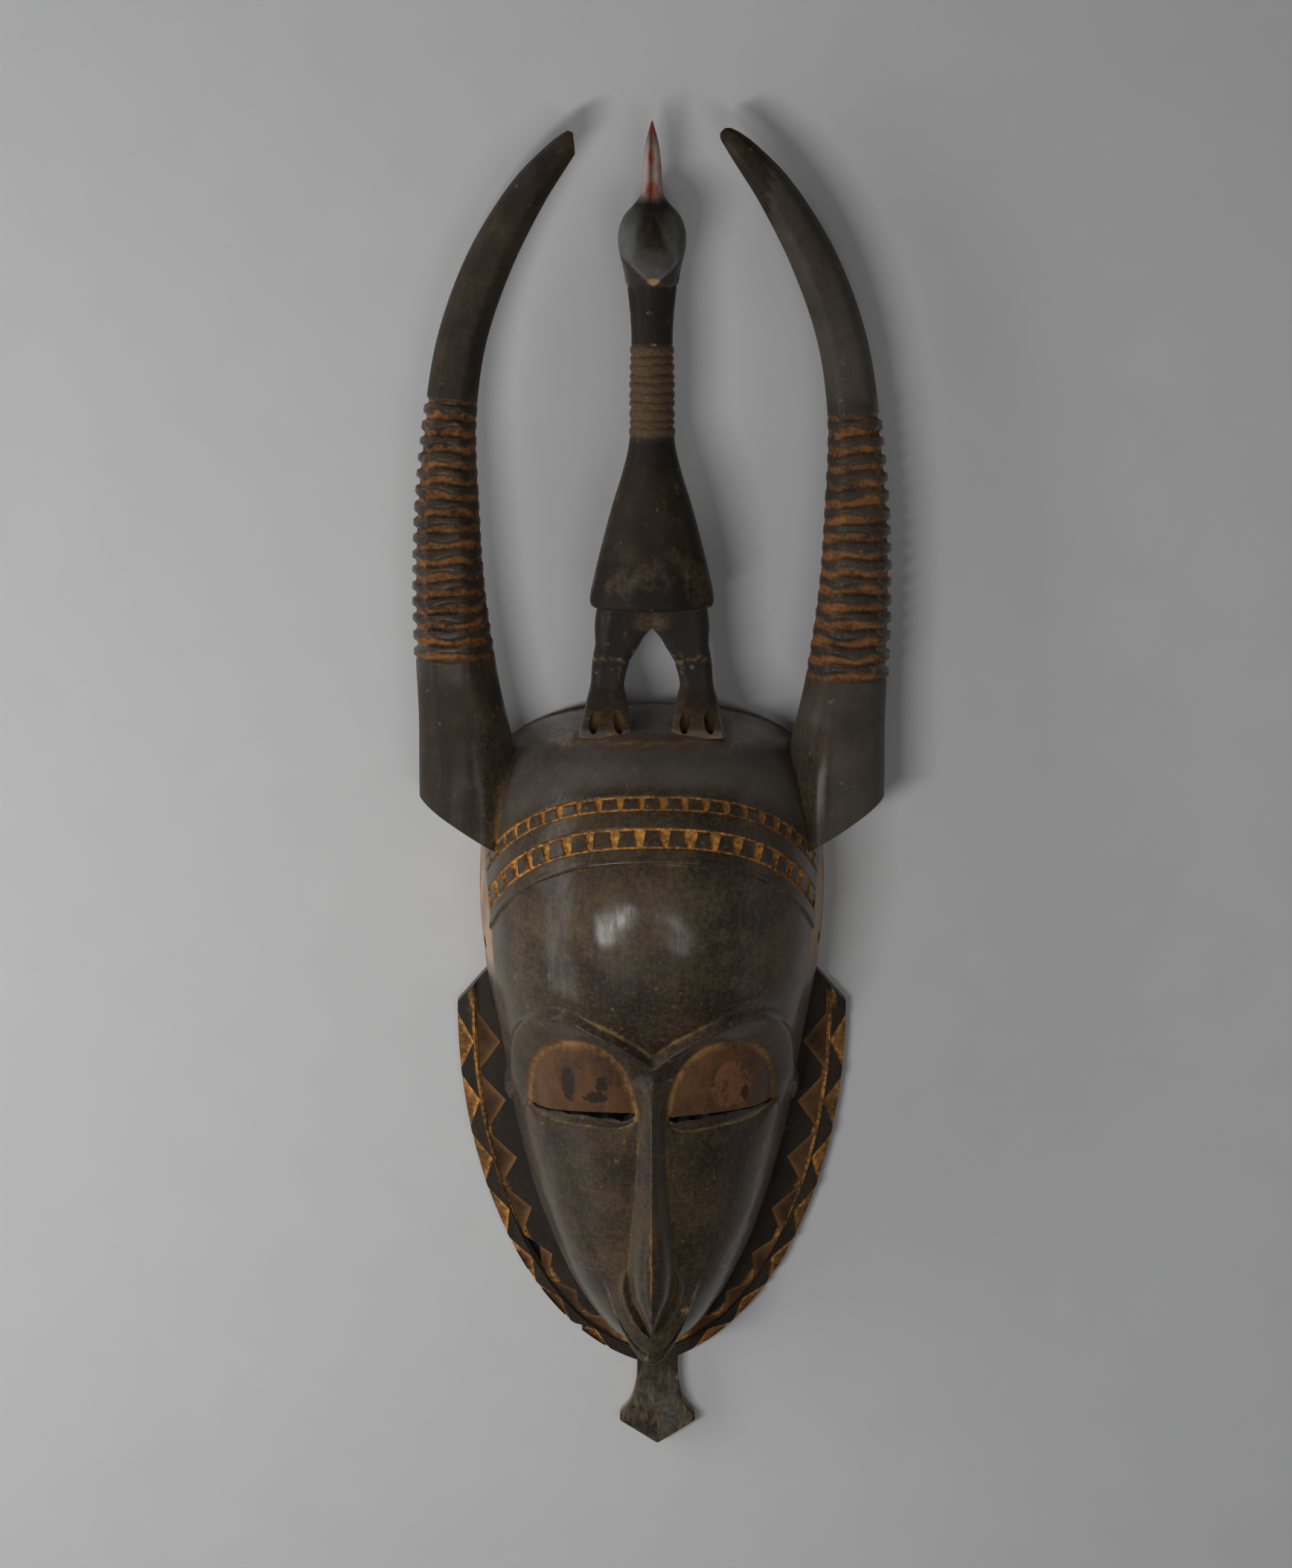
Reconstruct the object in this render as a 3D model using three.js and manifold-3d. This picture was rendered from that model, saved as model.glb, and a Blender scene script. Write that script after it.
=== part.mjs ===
// A carved wooden mask of the Yaure people: a long smooth face inside a notched collar,
// with two ringed horns and a standing bird on its crown. It is cut from one block of wood.
// The mask lies on the rim of its hollow back, which is the plane z = 0.
// +X is to the viewer's right, +Y runs up to the crown and +Z comes out of the face.
import * as THREE from 'three';
import { mergeVertices } from 'three/addons/utils/BufferGeometryUtils.js';
import Module from 'manifold-3d';

const wasm = await Module();
wasm.setup();

// Driving dimensions, in millimetres
const CROWN = 44;
const CHIN = -247;
const DEPTH = 97.5;
const HALF_WIDTH = 76;
const WALL = 11;
const LIES_BELOW = 8;

// The head from crown to chin: y, half width at the rim, and depth
const HEAD_STATIONS = [
  [CROWN, 0, 0], [43.2, 20, 16], [41.6, 32, 36], [38, 46, 53], [28, 63.5, 70], [10, 71.5, 84],
  [-15, 75, 94.5], [-42, HALF_WIDTH, DEPTH], [-68, 74, 95.5], [-94, 69, 86.5], [-118, 65, 79.5],
  [-150, 58.8, 74.5], [-185, 48.8, 70], [-210, 38.2, 64.5], [-226, 28.5, 56], [-237, 19.5, 42],
  [-244, 10.5, 22], [CHIN, 0, 0],
];
const ARCH_WIDTH_POWER = 2.3;

// The two headbands lie on planes that tilt back into the head, and drop a little at its sides.
// Each is given by the height of its upper edge at the front of the head.
const BAND_TILT = 0.65;
const BAND_DROP = 8;
const BAND_DEPTH = 1.3;
const BAND_REACH = 1.32;
const UPPER_BAND = { y: 31, height: 8.4, gaps: 23 };
const LOWER_BAND = { y: 14, height: 11, gaps: 21 };
const GAP_SHARES = { below: 0.14, above: 0.3 };

// The eye sockets and lids, given for the right eye
const EYE = { x: 30, y: -124, halfWidth: 23, height: 34, power: 2.4, sink: 2.4, bulge: 1.4 };
const SLIT = { height: 2.6, sag: 1, climb: 3 };
const BROW = [[0, -99], [17, -87], [40, -77.5], [53, -85], [59.5, -103], [60, -130]];
const BROW_RISE = 2;
const BROW_REACH = [9, 4];

// The nose from the brows to its tip: y, half width, and height of the crest. Its feet are just
// clear of the head's surface.
const NOSE_FOOT = 0.9;
const NOSE_STATIONS = [
  [-93, 10, 88], [-104, 8, 89.5], [-122, 5.6, 87], [-150, 7, 85], [-180, 10, 85.5],
  [-198, 12.5, 85.5], [-209, 8.5, 84], [-215, 3.5, 77],
];
const NOSTRIL = { x: 9, y: -200, half: 4, length: 10, rise: 3.2, lean: 0.42 };
// The lips from under the nose to the chin: y, half width, and height
const LIP_STATIONS = [
  [-204, 21, 65], [-213, 20, 69], [-222, 16, 74.5], [-229, 10.5, 77.5], [-232.5, 6.5, 77],
  [-236, 6, 70], [-242, 4, 50],
];
const TEMPLE_BOSS = { x: 62.5, y: -126, half: 2.6, length: 7, rise: 3.2 };

// The collar round the lower face and the beard under it. The collar's edge is one curve from its
// corner to its bottom, steered at the side and below; its teeth end on a line inside that edge.
const COLLAR = { corner: [86, -90], inner: [72, -74], bottom: -259, thickness: 9 };
const COLLAR_STEER = { side: [87, -168], below: [55, -246] };
const TEETH = { length: 6.5, relief: 1.4, notches: 7, share: 0.8 };
const BEARD = { x: 2.6, neck: 9.3, half: 17, wide: -284, tip: -296.6, thickness: 9 };

// The horns, given for the right one, whose tip is whole: the middle line's x and y, and half width
const HORN_STATIONS = [
  [79.5, -30, 21], [80, 25, 20.6], [83.5, 57, 17.2], [86.7, 95, 14.9], [87.3, 135, 13], [85.7, 172, 10.7],
  [80.5, 205, 10], [68.3, 238.5, 9.4], [52, 267, 7.8], [43, 278.5, 6.4], [35.5, 287, 4.8], [29.5, 292.5, 2.6],
];
const HORN_THICKNESS = 0.86;
const HORN_RINGS = 15;
const RING_SPAN = [66, 176];
const RING_RELIEF = 1.1;
const HORN_HEIGHT = [27, 24];
const LEFT_TIP_END = 286;
const RIGHT_TIP_END = 292.5;
const HORN_FOOT = { corner: [100.4, 7.4], inner: [70, -12.6] };

// The bird from its hem to the tip of its beak: y, half width, half thickness and height
const BIRD_STATIONS = [
  [91.5, 25, 18, 30], [93, 26.5, 20, 30], [95.5, 26.4, 20, 30], [106, 24.4, 20, 31], [120, 21, 19, 31.5],
  [135, 17, 16, 32], [150, 12.4, 12.5, 32], [163, 9.4, 9.4, 32],
];
const NECK_RINGS = { from: 166, to: 208, count: 10, half: 8.8, relief: 0.9, z: 32 };
const HEAD_OF_BIRD = [
  [210, 8.8, 8.6, 31], [228, 10.6, 9.2, 31], [230, 10.8, 12, 33], [236, 12.2, 14, 33.5],
  [244, 14, 13.5, 32], [252, 14.1, 11.5, 30], [258, 11.5, 9, 28], [264, 6.6, 6, 26],
  [268, 4.2, 4.2, 25.5], [282, 2.4, 2.6, 24], [296.6, 0.5, 0.5, 22.5],
];
// A leg from the hem to the crown: y, place across and half width
const LEG_STATIONS = [[96, 11.5, 11.5], [84, 12.4, 11.6], [75, 15, 9.8], [67, 18, 8], [57, 19.3, 7.5],
  [49, 19.3, 9.2], [38, 19.3, 10]];
const LEG_HEIGHT = 31;
const LEG_THICK = 9.5;
// The toes spread from the foot down to the crown: y and z of their roots and ends
const TOES = { x: 19.3, root: [47, 33], end: [39.5, 51], spread: [5, 9], half: [3.6, 2.4] };

const WOOD = new THREE.MeshStandardMaterial({ color: 0x2a241e, roughness: 0.45, metalness: 0 });

// A body of corners and triangles, turned the right way out where a mapping has turned it inside out
function bodyOf(corners, triangles) {
  const make = () => new wasm.Manifold(new wasm.Mesh({
    numProp: 3,
    vertProperties: corners,
    triVerts: triangles,
  }));
  if (make().volume() < 0) {
    triangles.reverse();
  }
  return make();
}

// A closed geometry becomes a solid, once only its places are left and shared corners are merged
function solid(geometry) {
  geometry.deleteAttribute('normal');
  geometry.deleteAttribute('uv');
  const merged = mergeVertices(geometry, 1e-4);
  return bodyOf(new Float32Array(merged.attributes.position.array), new Uint32Array(merged.index.array));
}

function mirrored(body) {
  const { vertProperties, triVerts } = body.getMesh();
  return bodyOf(vertProperties.map((value, i) => (i % 3 === 0 ? -value : value)), triVerts.slice());
}

function joined(solids) {
  return solids.reduce((whole, next) => whole.add(next));
}

function moved(geometry, place) {
  const position = geometry.attributes.position;
  const point = new THREE.Vector3();
  for (let i = 0; i < position.count; i += 1) {
    point.fromBufferAttribute(position, i);
    place(point);
    position.setXYZ(i, point.x, point.y, point.z);
  }
  return geometry;
}

// A body whose corners are set by a function of the way along it, from 0 to 1, and the corner's number
function lofted(sides, steps, corner) {
  const geometry = new THREE.CylinderGeometry(1, 1, 1, sides, steps);
  moved(geometry, (point) => {
    const way = point.y + 0.5;
    const number = Math.round(Math.atan2(point.x, point.z) / (2 * Math.PI) * sides + sides) % sides;
    if (Math.hypot(point.x, point.z) > 0.5) {
      point.copy(corner(way, number));
      return;
    }
    point.set(0, 0, 0);
    for (let i = 0; i < sides; i += 1) {
      point.addScaledVector(corner(way, i), 1 / sides);
    }
  });
  return solid(geometry);
}

// A loft with oval rings: the function gives each ring's middle and its two half axes
function ovalForm(sides, steps, ring) {
  return lofted(sides, steps, (way, number) => {
    const turn = 2 * Math.PI * number / sides;
    const { center, across, up } = ring(way);
    return center.clone().addScaledVector(across, Math.sin(turn)).addScaledVector(up, Math.cos(turn));
  });
}

function smooth(points) {
  return new THREE.CatmullRomCurve3(points, false, 'centripetal');
}

function outline(points) {
  return new THREE.Shape(points.map(([x, y]) => new THREE.Vector2(x, y)));
}

function slab(shape, from, to, options = {}) {
  const geometry = new THREE.ExtrudeGeometry(shape, { depth: to - from, bevelEnabled: false, ...options });
  return geometry.translate(0, 0, from);
}

const headCurve = smooth(HEAD_STATIONS.map(([y, half, depth]) => new THREE.Vector3(half, y, depth)));

// The head's form starts from a sphere with its poles at the crown and the chin. Most of its columns
// go to the arched front, and the rest to the flat back.
function headForm(columns = 28, rows = 38) {
  const frontShare = 0.8;
  const geometry = new THREE.SphereGeometry(1, columns, rows);
  return moved(geometry, (point) => {
    const way = Math.acos(THREE.MathUtils.clamp(point.y, -1, 1)) / Math.PI;
    const turn = Math.abs(Math.atan2(point.x, point.z)) / Math.PI;
    const section = headCurve.getPoint(way);
    const arch = Math.min(turn / frontShare, 1) * Math.PI / 2;
    const back = Math.max(turn - frontShare, 0) / (1 - frontShare);
    const side = (1 - back) * Math.sin(arch) ** (2 / ARCH_WIDTH_POWER);
    point.set(section.x * side * Math.sign(point.x), section.y, section.z * Math.cos(arch));
  });
}

// The way along a curve to a height y, found by halving; direction is 1 where the curve climbs
function wayTo(curve, y, direction) {
  let low = 0;
  let high = 1;
  for (let i = 0; i < 26; i += 1) {
    const middle = (low + high) / 2;
    if ((curve.getPoint(middle).y - y) * direction < 0) {
      low = middle;
    } else {
      high = middle;
    }
  }
  return low;
}

function sectionAt(y) {
  return headCurve.getPoint(wayTo(headCurve, y, -1));
}

function headHeight(x, y) {
  const section = sectionAt(y);
  const side = Math.min(Math.abs(x) / section.x, 1);
  return section.z * Math.sqrt(1 - side ** ARCH_WIDTH_POWER);
}

function onHead(x, y) {
  const step = 0.5;
  const normal = new THREE.Vector3(
    headHeight(x - step, y) - headHeight(x + step, y),
    headHeight(x, y - step) - headHeight(x, y + step),
    2 * step,
  ).normalize();
  return { point: new THREE.Vector3(x, y, headHeight(x, y)), normal };
}

// A frame on the head's surface, with its x axis level across the head and its z axis outwards
function frameOnHead(x, y, sunk = 0) {
  const { point, normal } = onHead(x, y);
  const away = new THREE.Vector3(0, 1, 0).cross(normal).normalize();
  const frame = new THREE.Matrix4().makeBasis(away, normal.clone().cross(away), normal);
  return frame.setPosition(point.addScaledVector(normal, -sunk));
}

// The head made smaller on every side but its back, which runs on past the rim: the hollow
function shrunkenHead(inset, columns, rows) {
  const middle = (CROWN + CHIN) / 2;
  const half = (CROWN - CHIN) / 2;
  const geometry = headForm(columns, rows);
  return solid(moved(geometry, (point) => {
    point.x *= (HALF_WIDTH - inset) / HALF_WIDTH;
    point.y = middle + (point.y - middle) * (half - inset) / half;
    point.z *= (DEPTH - inset) / DEPTH;
    if (point.z < 0.001) {
      point.z = -LIES_BELOW;
    }
  }));
}

// The gaps between the teeth of a headband: each is wider above, and sunk square into the head
function bandGap(band, angle, pitch) {
  let x = 0;
  let y = band.y;
  for (let i = 0; i < 12; i += 1) {
    const section = sectionAt(y);
    x = section.x * Math.sign(angle) * Math.abs(Math.sin(angle)) ** (2 / ARCH_WIDTH_POWER);
    const drop = BAND_DROP * (x / HALF_WIDTH) ** 4;
    y = band.y - band.height / 2 - drop - BAND_TILT * (DEPTH - section.z * Math.cos(angle));
  }
  const half = band.height / 2;
  const below = GAP_SHARES.below * pitch;
  const above = GAP_SHARES.above * pitch;
  const shape = outline([[-below, -half], [below, -half], [above, half], [-above, half]]);
  return solid(slab(shape, -BAND_DEPTH, 4).applyMatrix4(frameOnHead(x, y)));
}

function headband(band) {
  const gaps = [];
  for (let i = 0; i < band.gaps; i += 1) {
    const angle = BAND_REACH * (2 * (i + 0.5) / band.gaps - 1);
    gaps.push(bandGap(band, angle, 2 * BAND_REACH * HALF_WIDTH / band.gaps));
  }
  return joined(gaps);
}

// The upper lid's outline, from its outer corner over to its inner one, grown by a scale
function lidEdge(turn, scale = 1) {
  const side = Math.cos(turn);
  const rise = Math.max(Math.sin(turn), 0);
  return [
    EYE.x + scale * EYE.halfWidth * Math.sign(side) * Math.abs(side) ** (2 / EYE.power),
    EYE.y + scale * EYE.height * rise ** (2 / EYE.power),
  ];
}

// The line of the slit, from -1 at the nose to 1 at the temple
function slitLine(side) {
  return EYE.y - SLIT.sag * (1 - side * side) + SLIT.climb * (1 - side) / 2;
}

// The socket is the outline of the upper lid, and its lower edge follows the slit
function socket() {
  const points = [];
  const steps = 16;
  for (let i = 0; i < steps; i += 1) {
    points.push(lidEdge(Math.PI * i / steps));
  }
  for (let i = 0; i < 6; i += 1) {
    const side = -1 + 2 * i / 6;
    points.push([EYE.x + side * EYE.halfWidth, slitLine(side)]);
  }
  return solid(slab(outline(points), WALL, DEPTH + 10));
}

function slit() {
  const points = [];
  const steps = 8;
  const half = EYE.halfWidth - 1;
  for (let i = 0; i <= steps; i += 1) {
    const side = -1 + 2 * i / steps;
    points.push([EYE.x + half * side, slitLine(side) + 0.5]);
  }
  for (let i = steps - 1; i > 0; i -= 1) {
    const side = -1 + 2 * i / steps;
    points.push([EYE.x + half * side, slitLine(side) - SLIT.height * (1 - side * side)]);
  }
  return solid(slab(outline(points), WALL, DEPTH + 10));
}

// The lid fills its socket: sunk at its edge, and fullest above the slit
function lid() {
  const geometry = new THREE.SphereGeometry(1, 18, 6);
  geometry.rotateX(Math.PI / 2);
  moved(geometry, (point) => {
    const reach = Math.min(Math.hypot(point.x, point.y), 1);
    const turn = Math.atan2(point.y, point.x);
    const [x, y] = lidEdge(turn, reach * 1.02);
    const below = Math.max(-Math.sin(turn), 0) * reach;
    const drop = slitLine((x - EYE.x) / EYE.halfWidth) - EYE.y - below;
    const { point: place, normal } = onHead(x, y + drop);
    const rise = (EYE.bulge - (EYE.bulge + EYE.sink) * reach ** 3) / normal.z;
    const height = point.z > -0.001 ? place.z + rise : Math.max(place.z - 3 * WALL, WALL);
    point.copy(place).setZ(height);
  });
  return solid(geometry);
}

// The brow is a ridge, steep towards the forehead and sloping down to the edge of the lid
function brow() {
  const line = smooth(BROW.map(([x, y]) => new THREE.Vector3(x, y, 0)));
  return lofted(4, 16, (way, number) => {
    const { x, y } = line.getPoint(way);
    const { point, normal } = onHead(x, y);
    const inward = normal.clone().cross(line.getTangent(way)).normalize().multiplyScalar(-1);
    const rise = BROW_RISE * Math.min(1, (1 - way) * 5);
    const reach = THREE.MathUtils.lerp(BROW_REACH[0], BROW_REACH[1], way);
    const corners = [[0, rise], [-2, -0.8], [3, -6], [reach, -1.5]];
    return point.addScaledVector(inward, corners[number][0]).addScaledVector(normal, corners[number][1]);
  });
}

// A wedge along Y with a sharp crest and its feet on the face
function crested(stations, steps) {
  const curve = smooth(stations.map(([y, half, height]) => new THREE.Vector3(half, y, height)));
  return lofted(5, steps, (way, number) => {
    const { x: half, y, z: crest } = curve.getPoint(way);
    const foot = headHeight(half, y) + NOSE_FOOT;
    const root = foot - WALL + 2;
    const corners = [[0, crest], [half, foot], [half, root], [-half, root], [-half, foot]];
    return new THREE.Vector3(corners[number][0], y, corners[number][1]);
  });
}

// The lips stand out as one rounded form that narrows down to the chin
function lips() {
  const curve = smooth(LIP_STATIONS.map(([y, half, height]) => new THREE.Vector3(half, y, height)));
  return ovalForm(10, 7, (way) => {
    const { x: half, y, z: height } = curve.getPoint(way);
    const thick = Math.min(16, height - 34);
    return {
      center: new THREE.Vector3(0, y, height - thick),
      across: new THREE.Vector3(half, 0, 0),
      up: new THREE.Vector3(0, 0, thick),
    };
  });
}

// A small boss on the head: a nostril's wing or the knob at a temple
function boss({ x, y, half, length, rise, lean = 0 }) {
  const geometry = new THREE.SphereGeometry(1, 8, 4);
  geometry.scale(half, length, rise);
  geometry.rotateZ(-lean);
  return solid(geometry.applyMatrix4(frameOnHead(x, y)));
}

// The rows of a horn up to its tip: wide apart where it is smooth, and two to each ring
function hornRows(tipEnd) {
  const rows = [-30, 10, 30, 48].map((y) => ({ y, swell: 0 }));
  const [from, to] = RING_SPAN;
  const pitch = (to - from) / HORN_RINGS;
  for (let i = 0; i < HORN_RINGS; i += 1) {
    rows.push({ y: from + pitch * i, swell: -RING_RELIEF });
    rows.push({ y: from + pitch * (i + 0.5), swell: RING_RELIEF });
  }
  rows.push({ y: to, swell: -RING_RELIEF });
  const steps = 9;
  for (let i = 0; i <= steps; i += 1) {
    const start = to + 2;
    rows.push({ y: start + (tipEnd - start) * i / steps, swell: 0 });
  }
  return rows;
}

function horn(tipEnd) {
  const line = smooth(HORN_STATIONS.map(([x, y, half]) => new THREE.Vector3(x, y, half)));
  const rows = hornRows(tipEnd);
  const last = rows.length - 1;
  return ovalForm(10, last, (step) => {
    const { y: height, swell } = rows[Math.round(step * last)];
    const way = wayTo(line, height, 1);
    const { x, y, z: half } = line.getPoint(way);
    const along = line.getTangent(way).setZ(0).normalize();
    return {
      center: new THREE.Vector3(x, y, THREE.MathUtils.lerp(HORN_HEIGHT[0], HORN_HEIGHT[1], way)),
      across: new THREE.Vector3(along.y, -along.x, 0).multiplyScalar(half + swell),
      up: new THREE.Vector3(0, 0, HORN_THICKNESS * half + swell),
    };
  });
}

// The foot of the horn is sawn off on the slant, from its outer corner in to the head
function hornFootCut() {
  const [x, y] = HORN_FOOT.corner;
  const slope = Math.atan2(y - HORN_FOOT.inner[1], x - HORN_FOOT.inner[0]);
  const size = 120;
  const geometry = new THREE.BoxGeometry(size, size, size);
  geometry.translate(0, -size / 2, 0);
  geometry.rotateZ(slope);
  return solid(geometry.translate(x, y, 0));
}

function birdStations() {
  const rings = [];
  const { from, to, count, half, relief, z } = NECK_RINGS;
  const pitch = (to - from) / count;
  for (let i = 0; i < count; i += 1) {
    const y = from + pitch * i;
    rings.push([y, half - relief * 0.4, half - relief * 0.4, z]);
    rings.push([y + pitch / 2, half + relief, half + relief, z]);
  }
  return [...BIRD_STATIONS, ...rings, ...HEAD_OF_BIRD];
}

// Stations taken as they are, one ring at each
function stackedForm(stations, sides) {
  const last = stations.length - 1;
  return ovalForm(sides, last, (way) => {
    const [y, half, thick, height] = stations[Math.round(way * last)];
    return {
      center: new THREE.Vector3(0, y, height),
      across: new THREE.Vector3(half, 0, 0),
      up: new THREE.Vector3(0, 0, thick),
    };
  });
}

function leg() {
  const curve = smooth(LEG_STATIONS.map(([y, x, half]) => new THREE.Vector3(x, y, half)));
  return ovalForm(8, 6, (way) => {
    const { x, y, z: half } = curve.getPoint(way);
    return {
      center: new THREE.Vector3(x, y, LEG_HEIGHT),
      across: new THREE.Vector3(half, 0, 0),
      up: new THREE.Vector3(0, 0, LEG_THICK),
    };
  });
}

function toes() {
  const parts = [];
  const { x, root, end, spread, half } = TOES;
  for (const side of [-1, 0, 1]) {
    const from = new THREE.Vector3(x + spread[0] * side, ...root);
    const to = new THREE.Vector3(x + spread[1] * side, ...end);
    const line = new THREE.LineCurve3(from, to);
    parts.push(ovalForm(6, 2, (way) => {
      const radius = THREE.MathUtils.lerp(half[0], half[1], way);
      return {
        center: line.getPoint(way),
        across: new THREE.Vector3(radius, 0, 0),
        up: new THREE.Vector3(0, radius, 1.5),
      };
    }));
  }
  return joined(parts);
}

function bird() {
  const halfLeg = leg().add(toes());
  return stackedForm(birdStations(), 10).add(halfLeg).add(mirrored(halfLeg));
}

function collarEdge(inset = 0) {
  const { side, below } = COLLAR_STEER;
  const points = [
    [COLLAR.corner[0] - inset, COLLAR.corner[1]], [side[0] - inset, side[1]],
    [below[0] - inset * 0.8, below[1]], [0, COLLAR.bottom + inset],
  ];
  return new THREE.CubicBezierCurve(...points.map(([x, y]) => new THREE.Vector2(x, y)));
}

function collar() {
  const edge = collarEdge().getPoints(16).map((point) => [point.x, point.y]);
  const half = [COLLAR.inner, ...edge];
  const other = half.slice(0, -1).reverse().map(([x, y]) => [-x, y]);
  const plate = solid(slab(outline([...half, ...other]), 0, COLLAR.thickness));
  const cuts = collarNotches();
  return plate.subtract(cuts).subtract(mirrored(cuts));
}

// A row of triangles cut into the collar between its teeth, open at its edge
function collarNotches() {
  const outer = collarEdge();
  const line = collarEdge(TEETH.length);
  const floor = COLLAR.thickness - TEETH.relief;
  const cuts = [];
  for (let i = 0; i < TEETH.notches; i += 1) {
    const way = (i + 0.5) / (TEETH.notches + 0.3);
    const half = TEETH.share / 2 / TEETH.notches;
    const [a, b] = [outer.getPointAt(way - half), outer.getPointAt(way + half)];
    const apex = line.getPointAt(way);
    const outward = a.clone().add(b).multiplyScalar(0.5).sub(apex).normalize();
    a.addScaledVector(outward, 2);
    b.addScaledVector(outward, 2);
    cuts.push(solid(slab(outline([[a.x, a.y], [apex.x, apex.y], [b.x, b.y]]), floor, floor + 5)));
  }
  return joined(cuts);
}

function beard() {
  const shape = new THREE.Shape();
  const { x, neck, half, wide, tip, thickness } = BEARD;
  shape.moveTo(x + neck, COLLAR.bottom + 8);
  shape.lineTo(x + neck, COLLAR.bottom - 4);
  shape.quadraticCurveTo(x + neck + 1, wide + 11, x + half, wide + 1.5);
  shape.lineTo(x + half, wide - 1.5);
  shape.lineTo(x, tip);
  shape.lineTo(x - half, wide - 1.5);
  shape.lineTo(x - half, wide + 1.5);
  shape.quadraticCurveTo(x - neck - 1, wide + 11, x - neck, COLLAR.bottom - 4);
  shape.lineTo(x - neck, COLLAR.bottom + 8);
  return solid(slab(shape, 0, thickness, { curveSegments: 5 }));
}

function mask() {
  const pairs = [lid(), brow(), boss(NOSTRIL), boss(TEMPLE_BOSS)];
  const sockets = socket().add(mirrored(socket()));
  const slits = slit().add(mirrored(slit()));
  const rightHorn = horn(RIGHT_TIP_END).subtract(hornFootCut());
  const leftHorn = mirrored(horn(LEFT_TIP_END).subtract(hornFootCut()));
  let body = solid(headForm());
  body = body.subtract(headband(UPPER_BAND)).subtract(headband(LOWER_BAND)).subtract(sockets);
  body = joined([body, ...pairs, ...pairs.map(mirrored), crested(NOSE_STATIONS, 10), lips()]);
  body = joined([body, leftHorn, rightHorn, bird(), collar(), beard()]);
  return body.subtract(slits).subtract(shrunkenHead(WALL, 18, 14));
}

function meshOf(body, name, material) {
  const { vertProperties, triVerts } = body.getMesh();
  const geometry = new THREE.BufferGeometry();
  geometry.setAttribute('position', new THREE.BufferAttribute(vertProperties, 3));
  geometry.setIndex(new THREE.BufferAttribute(triVerts, 1));
  const mesh = new THREE.Mesh(geometry, material);
  mesh.name = name;
  return mesh;
}

const part = new THREE.Group();
part.add(meshOf(mask(), 'mask', WOOD));
export default part;
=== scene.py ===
import math

import bmesh
import bpy
import numpy as np
from mathutils import Matrix, Vector


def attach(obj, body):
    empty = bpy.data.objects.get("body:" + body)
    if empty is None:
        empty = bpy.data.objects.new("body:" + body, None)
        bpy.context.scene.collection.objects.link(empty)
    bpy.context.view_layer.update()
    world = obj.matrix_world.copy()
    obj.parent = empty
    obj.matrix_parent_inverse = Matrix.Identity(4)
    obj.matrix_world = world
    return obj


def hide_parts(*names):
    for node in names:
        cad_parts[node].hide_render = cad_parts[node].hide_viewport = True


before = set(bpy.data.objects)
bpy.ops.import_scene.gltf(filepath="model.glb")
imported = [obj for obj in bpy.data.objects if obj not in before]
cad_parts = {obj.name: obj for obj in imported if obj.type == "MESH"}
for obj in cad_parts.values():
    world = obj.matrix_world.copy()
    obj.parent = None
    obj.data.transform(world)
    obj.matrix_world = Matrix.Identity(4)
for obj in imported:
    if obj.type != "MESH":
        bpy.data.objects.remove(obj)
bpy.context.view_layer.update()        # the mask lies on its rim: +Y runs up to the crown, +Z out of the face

# The mask is worked out in millimetres, and made metres when the carving is finished
MM = 0.001
HEAD_TRIANGLES = 84000

# The head from crown to chin: half width at the rim, y, and depth
CROWN, CHIN, DEPTH, HALF_WIDTH, WALL = 44, -247, 97.5, 76, 11
HEAD_STATIONS = [
    (0, CROWN, 0), (20, 43.2, 16), (32, 41.6, 36), (46, 38, 53), (63.5, 28, 70), (71.5, 10, 84),
    (75, -15, 94.5), (HALF_WIDTH, -42, DEPTH), (74, -68, 95.5), (69, -94, 86.5), (65, -118, 79.5),
    (58.8, -150, 74.5), (48.8, -185, 70), (38.2, -210, 64.5), (28.5, -226, 56), (19.5, -237, 42),
    (10.5, -244, 22), (0, CHIN, 0),
]
ARCH_POWER = 2.3

# The head's rows follow the headbands: planes that tilt back, and drop a little at the sides.
# A plane is named by its height at the front; the tilt goes out towards the middle of the face.
BAND_TILT, BAND_DROP = 0.65, 8
TILT_ENDS = (-6, -150)
UPPER_BAND = {"top": 31, "low": 22.6, "gaps": 22, "gap": (0.5, 0.26)}
LOWER_BAND = {"top": 14, "low": 3, "gaps": 20, "gap": (0.58, 0.28)}
BAND_REACH = 1.2
BAND_DEPTH = 1.1
HAIRLINE = -4
# Planes of the rows from the crown down, with the number of rows to the next
ROW_PLAN = [
    (107.5, 34), (33, 4), (31.4, 2), (31, 3), (29.6, 2), (29.2, 10), (24.2, 2), (23.8, 3), (22.6, 2),
    (22.2, 12), (14.4, 2), (14, 3), (12.5, 2), (12.1, 12), (4.9, 2), (4.5, 3), (3, 2), (2.6, 9), (-3.6, 3),
    (-4.1, 3), (-5, 26), (-52, 26), (-76, 110), (-138, 36), (-186, 100), (-240, 10), (-247.2, 0),
]
FRONT_COLUMNS, BACK_COLUMNS, CENTRE_SHARE = 300, 18, 0.62

# The eyes, given for the right one
EYE = {"x": 30, "y": -124, "half": 23, "height": 34, "sink": 2.6, "bulge": 1.6}
LID_POWERS = (2.0, 2.5)
SLIT = {"height": 4.1, "drop": 1.2, "rise": 2.3, "climb": 2.9, "skew": 1.1}
BROW = [(0, -98.5), (8, -92), (18, -86), (27, -81.6), (34, -78), (41, -77), (50, -80.6), (56, -88),
        (59, -98), (60.3, -112), (60.8, -125), (60, -134)]
BROW_RISE = 2.2

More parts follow.
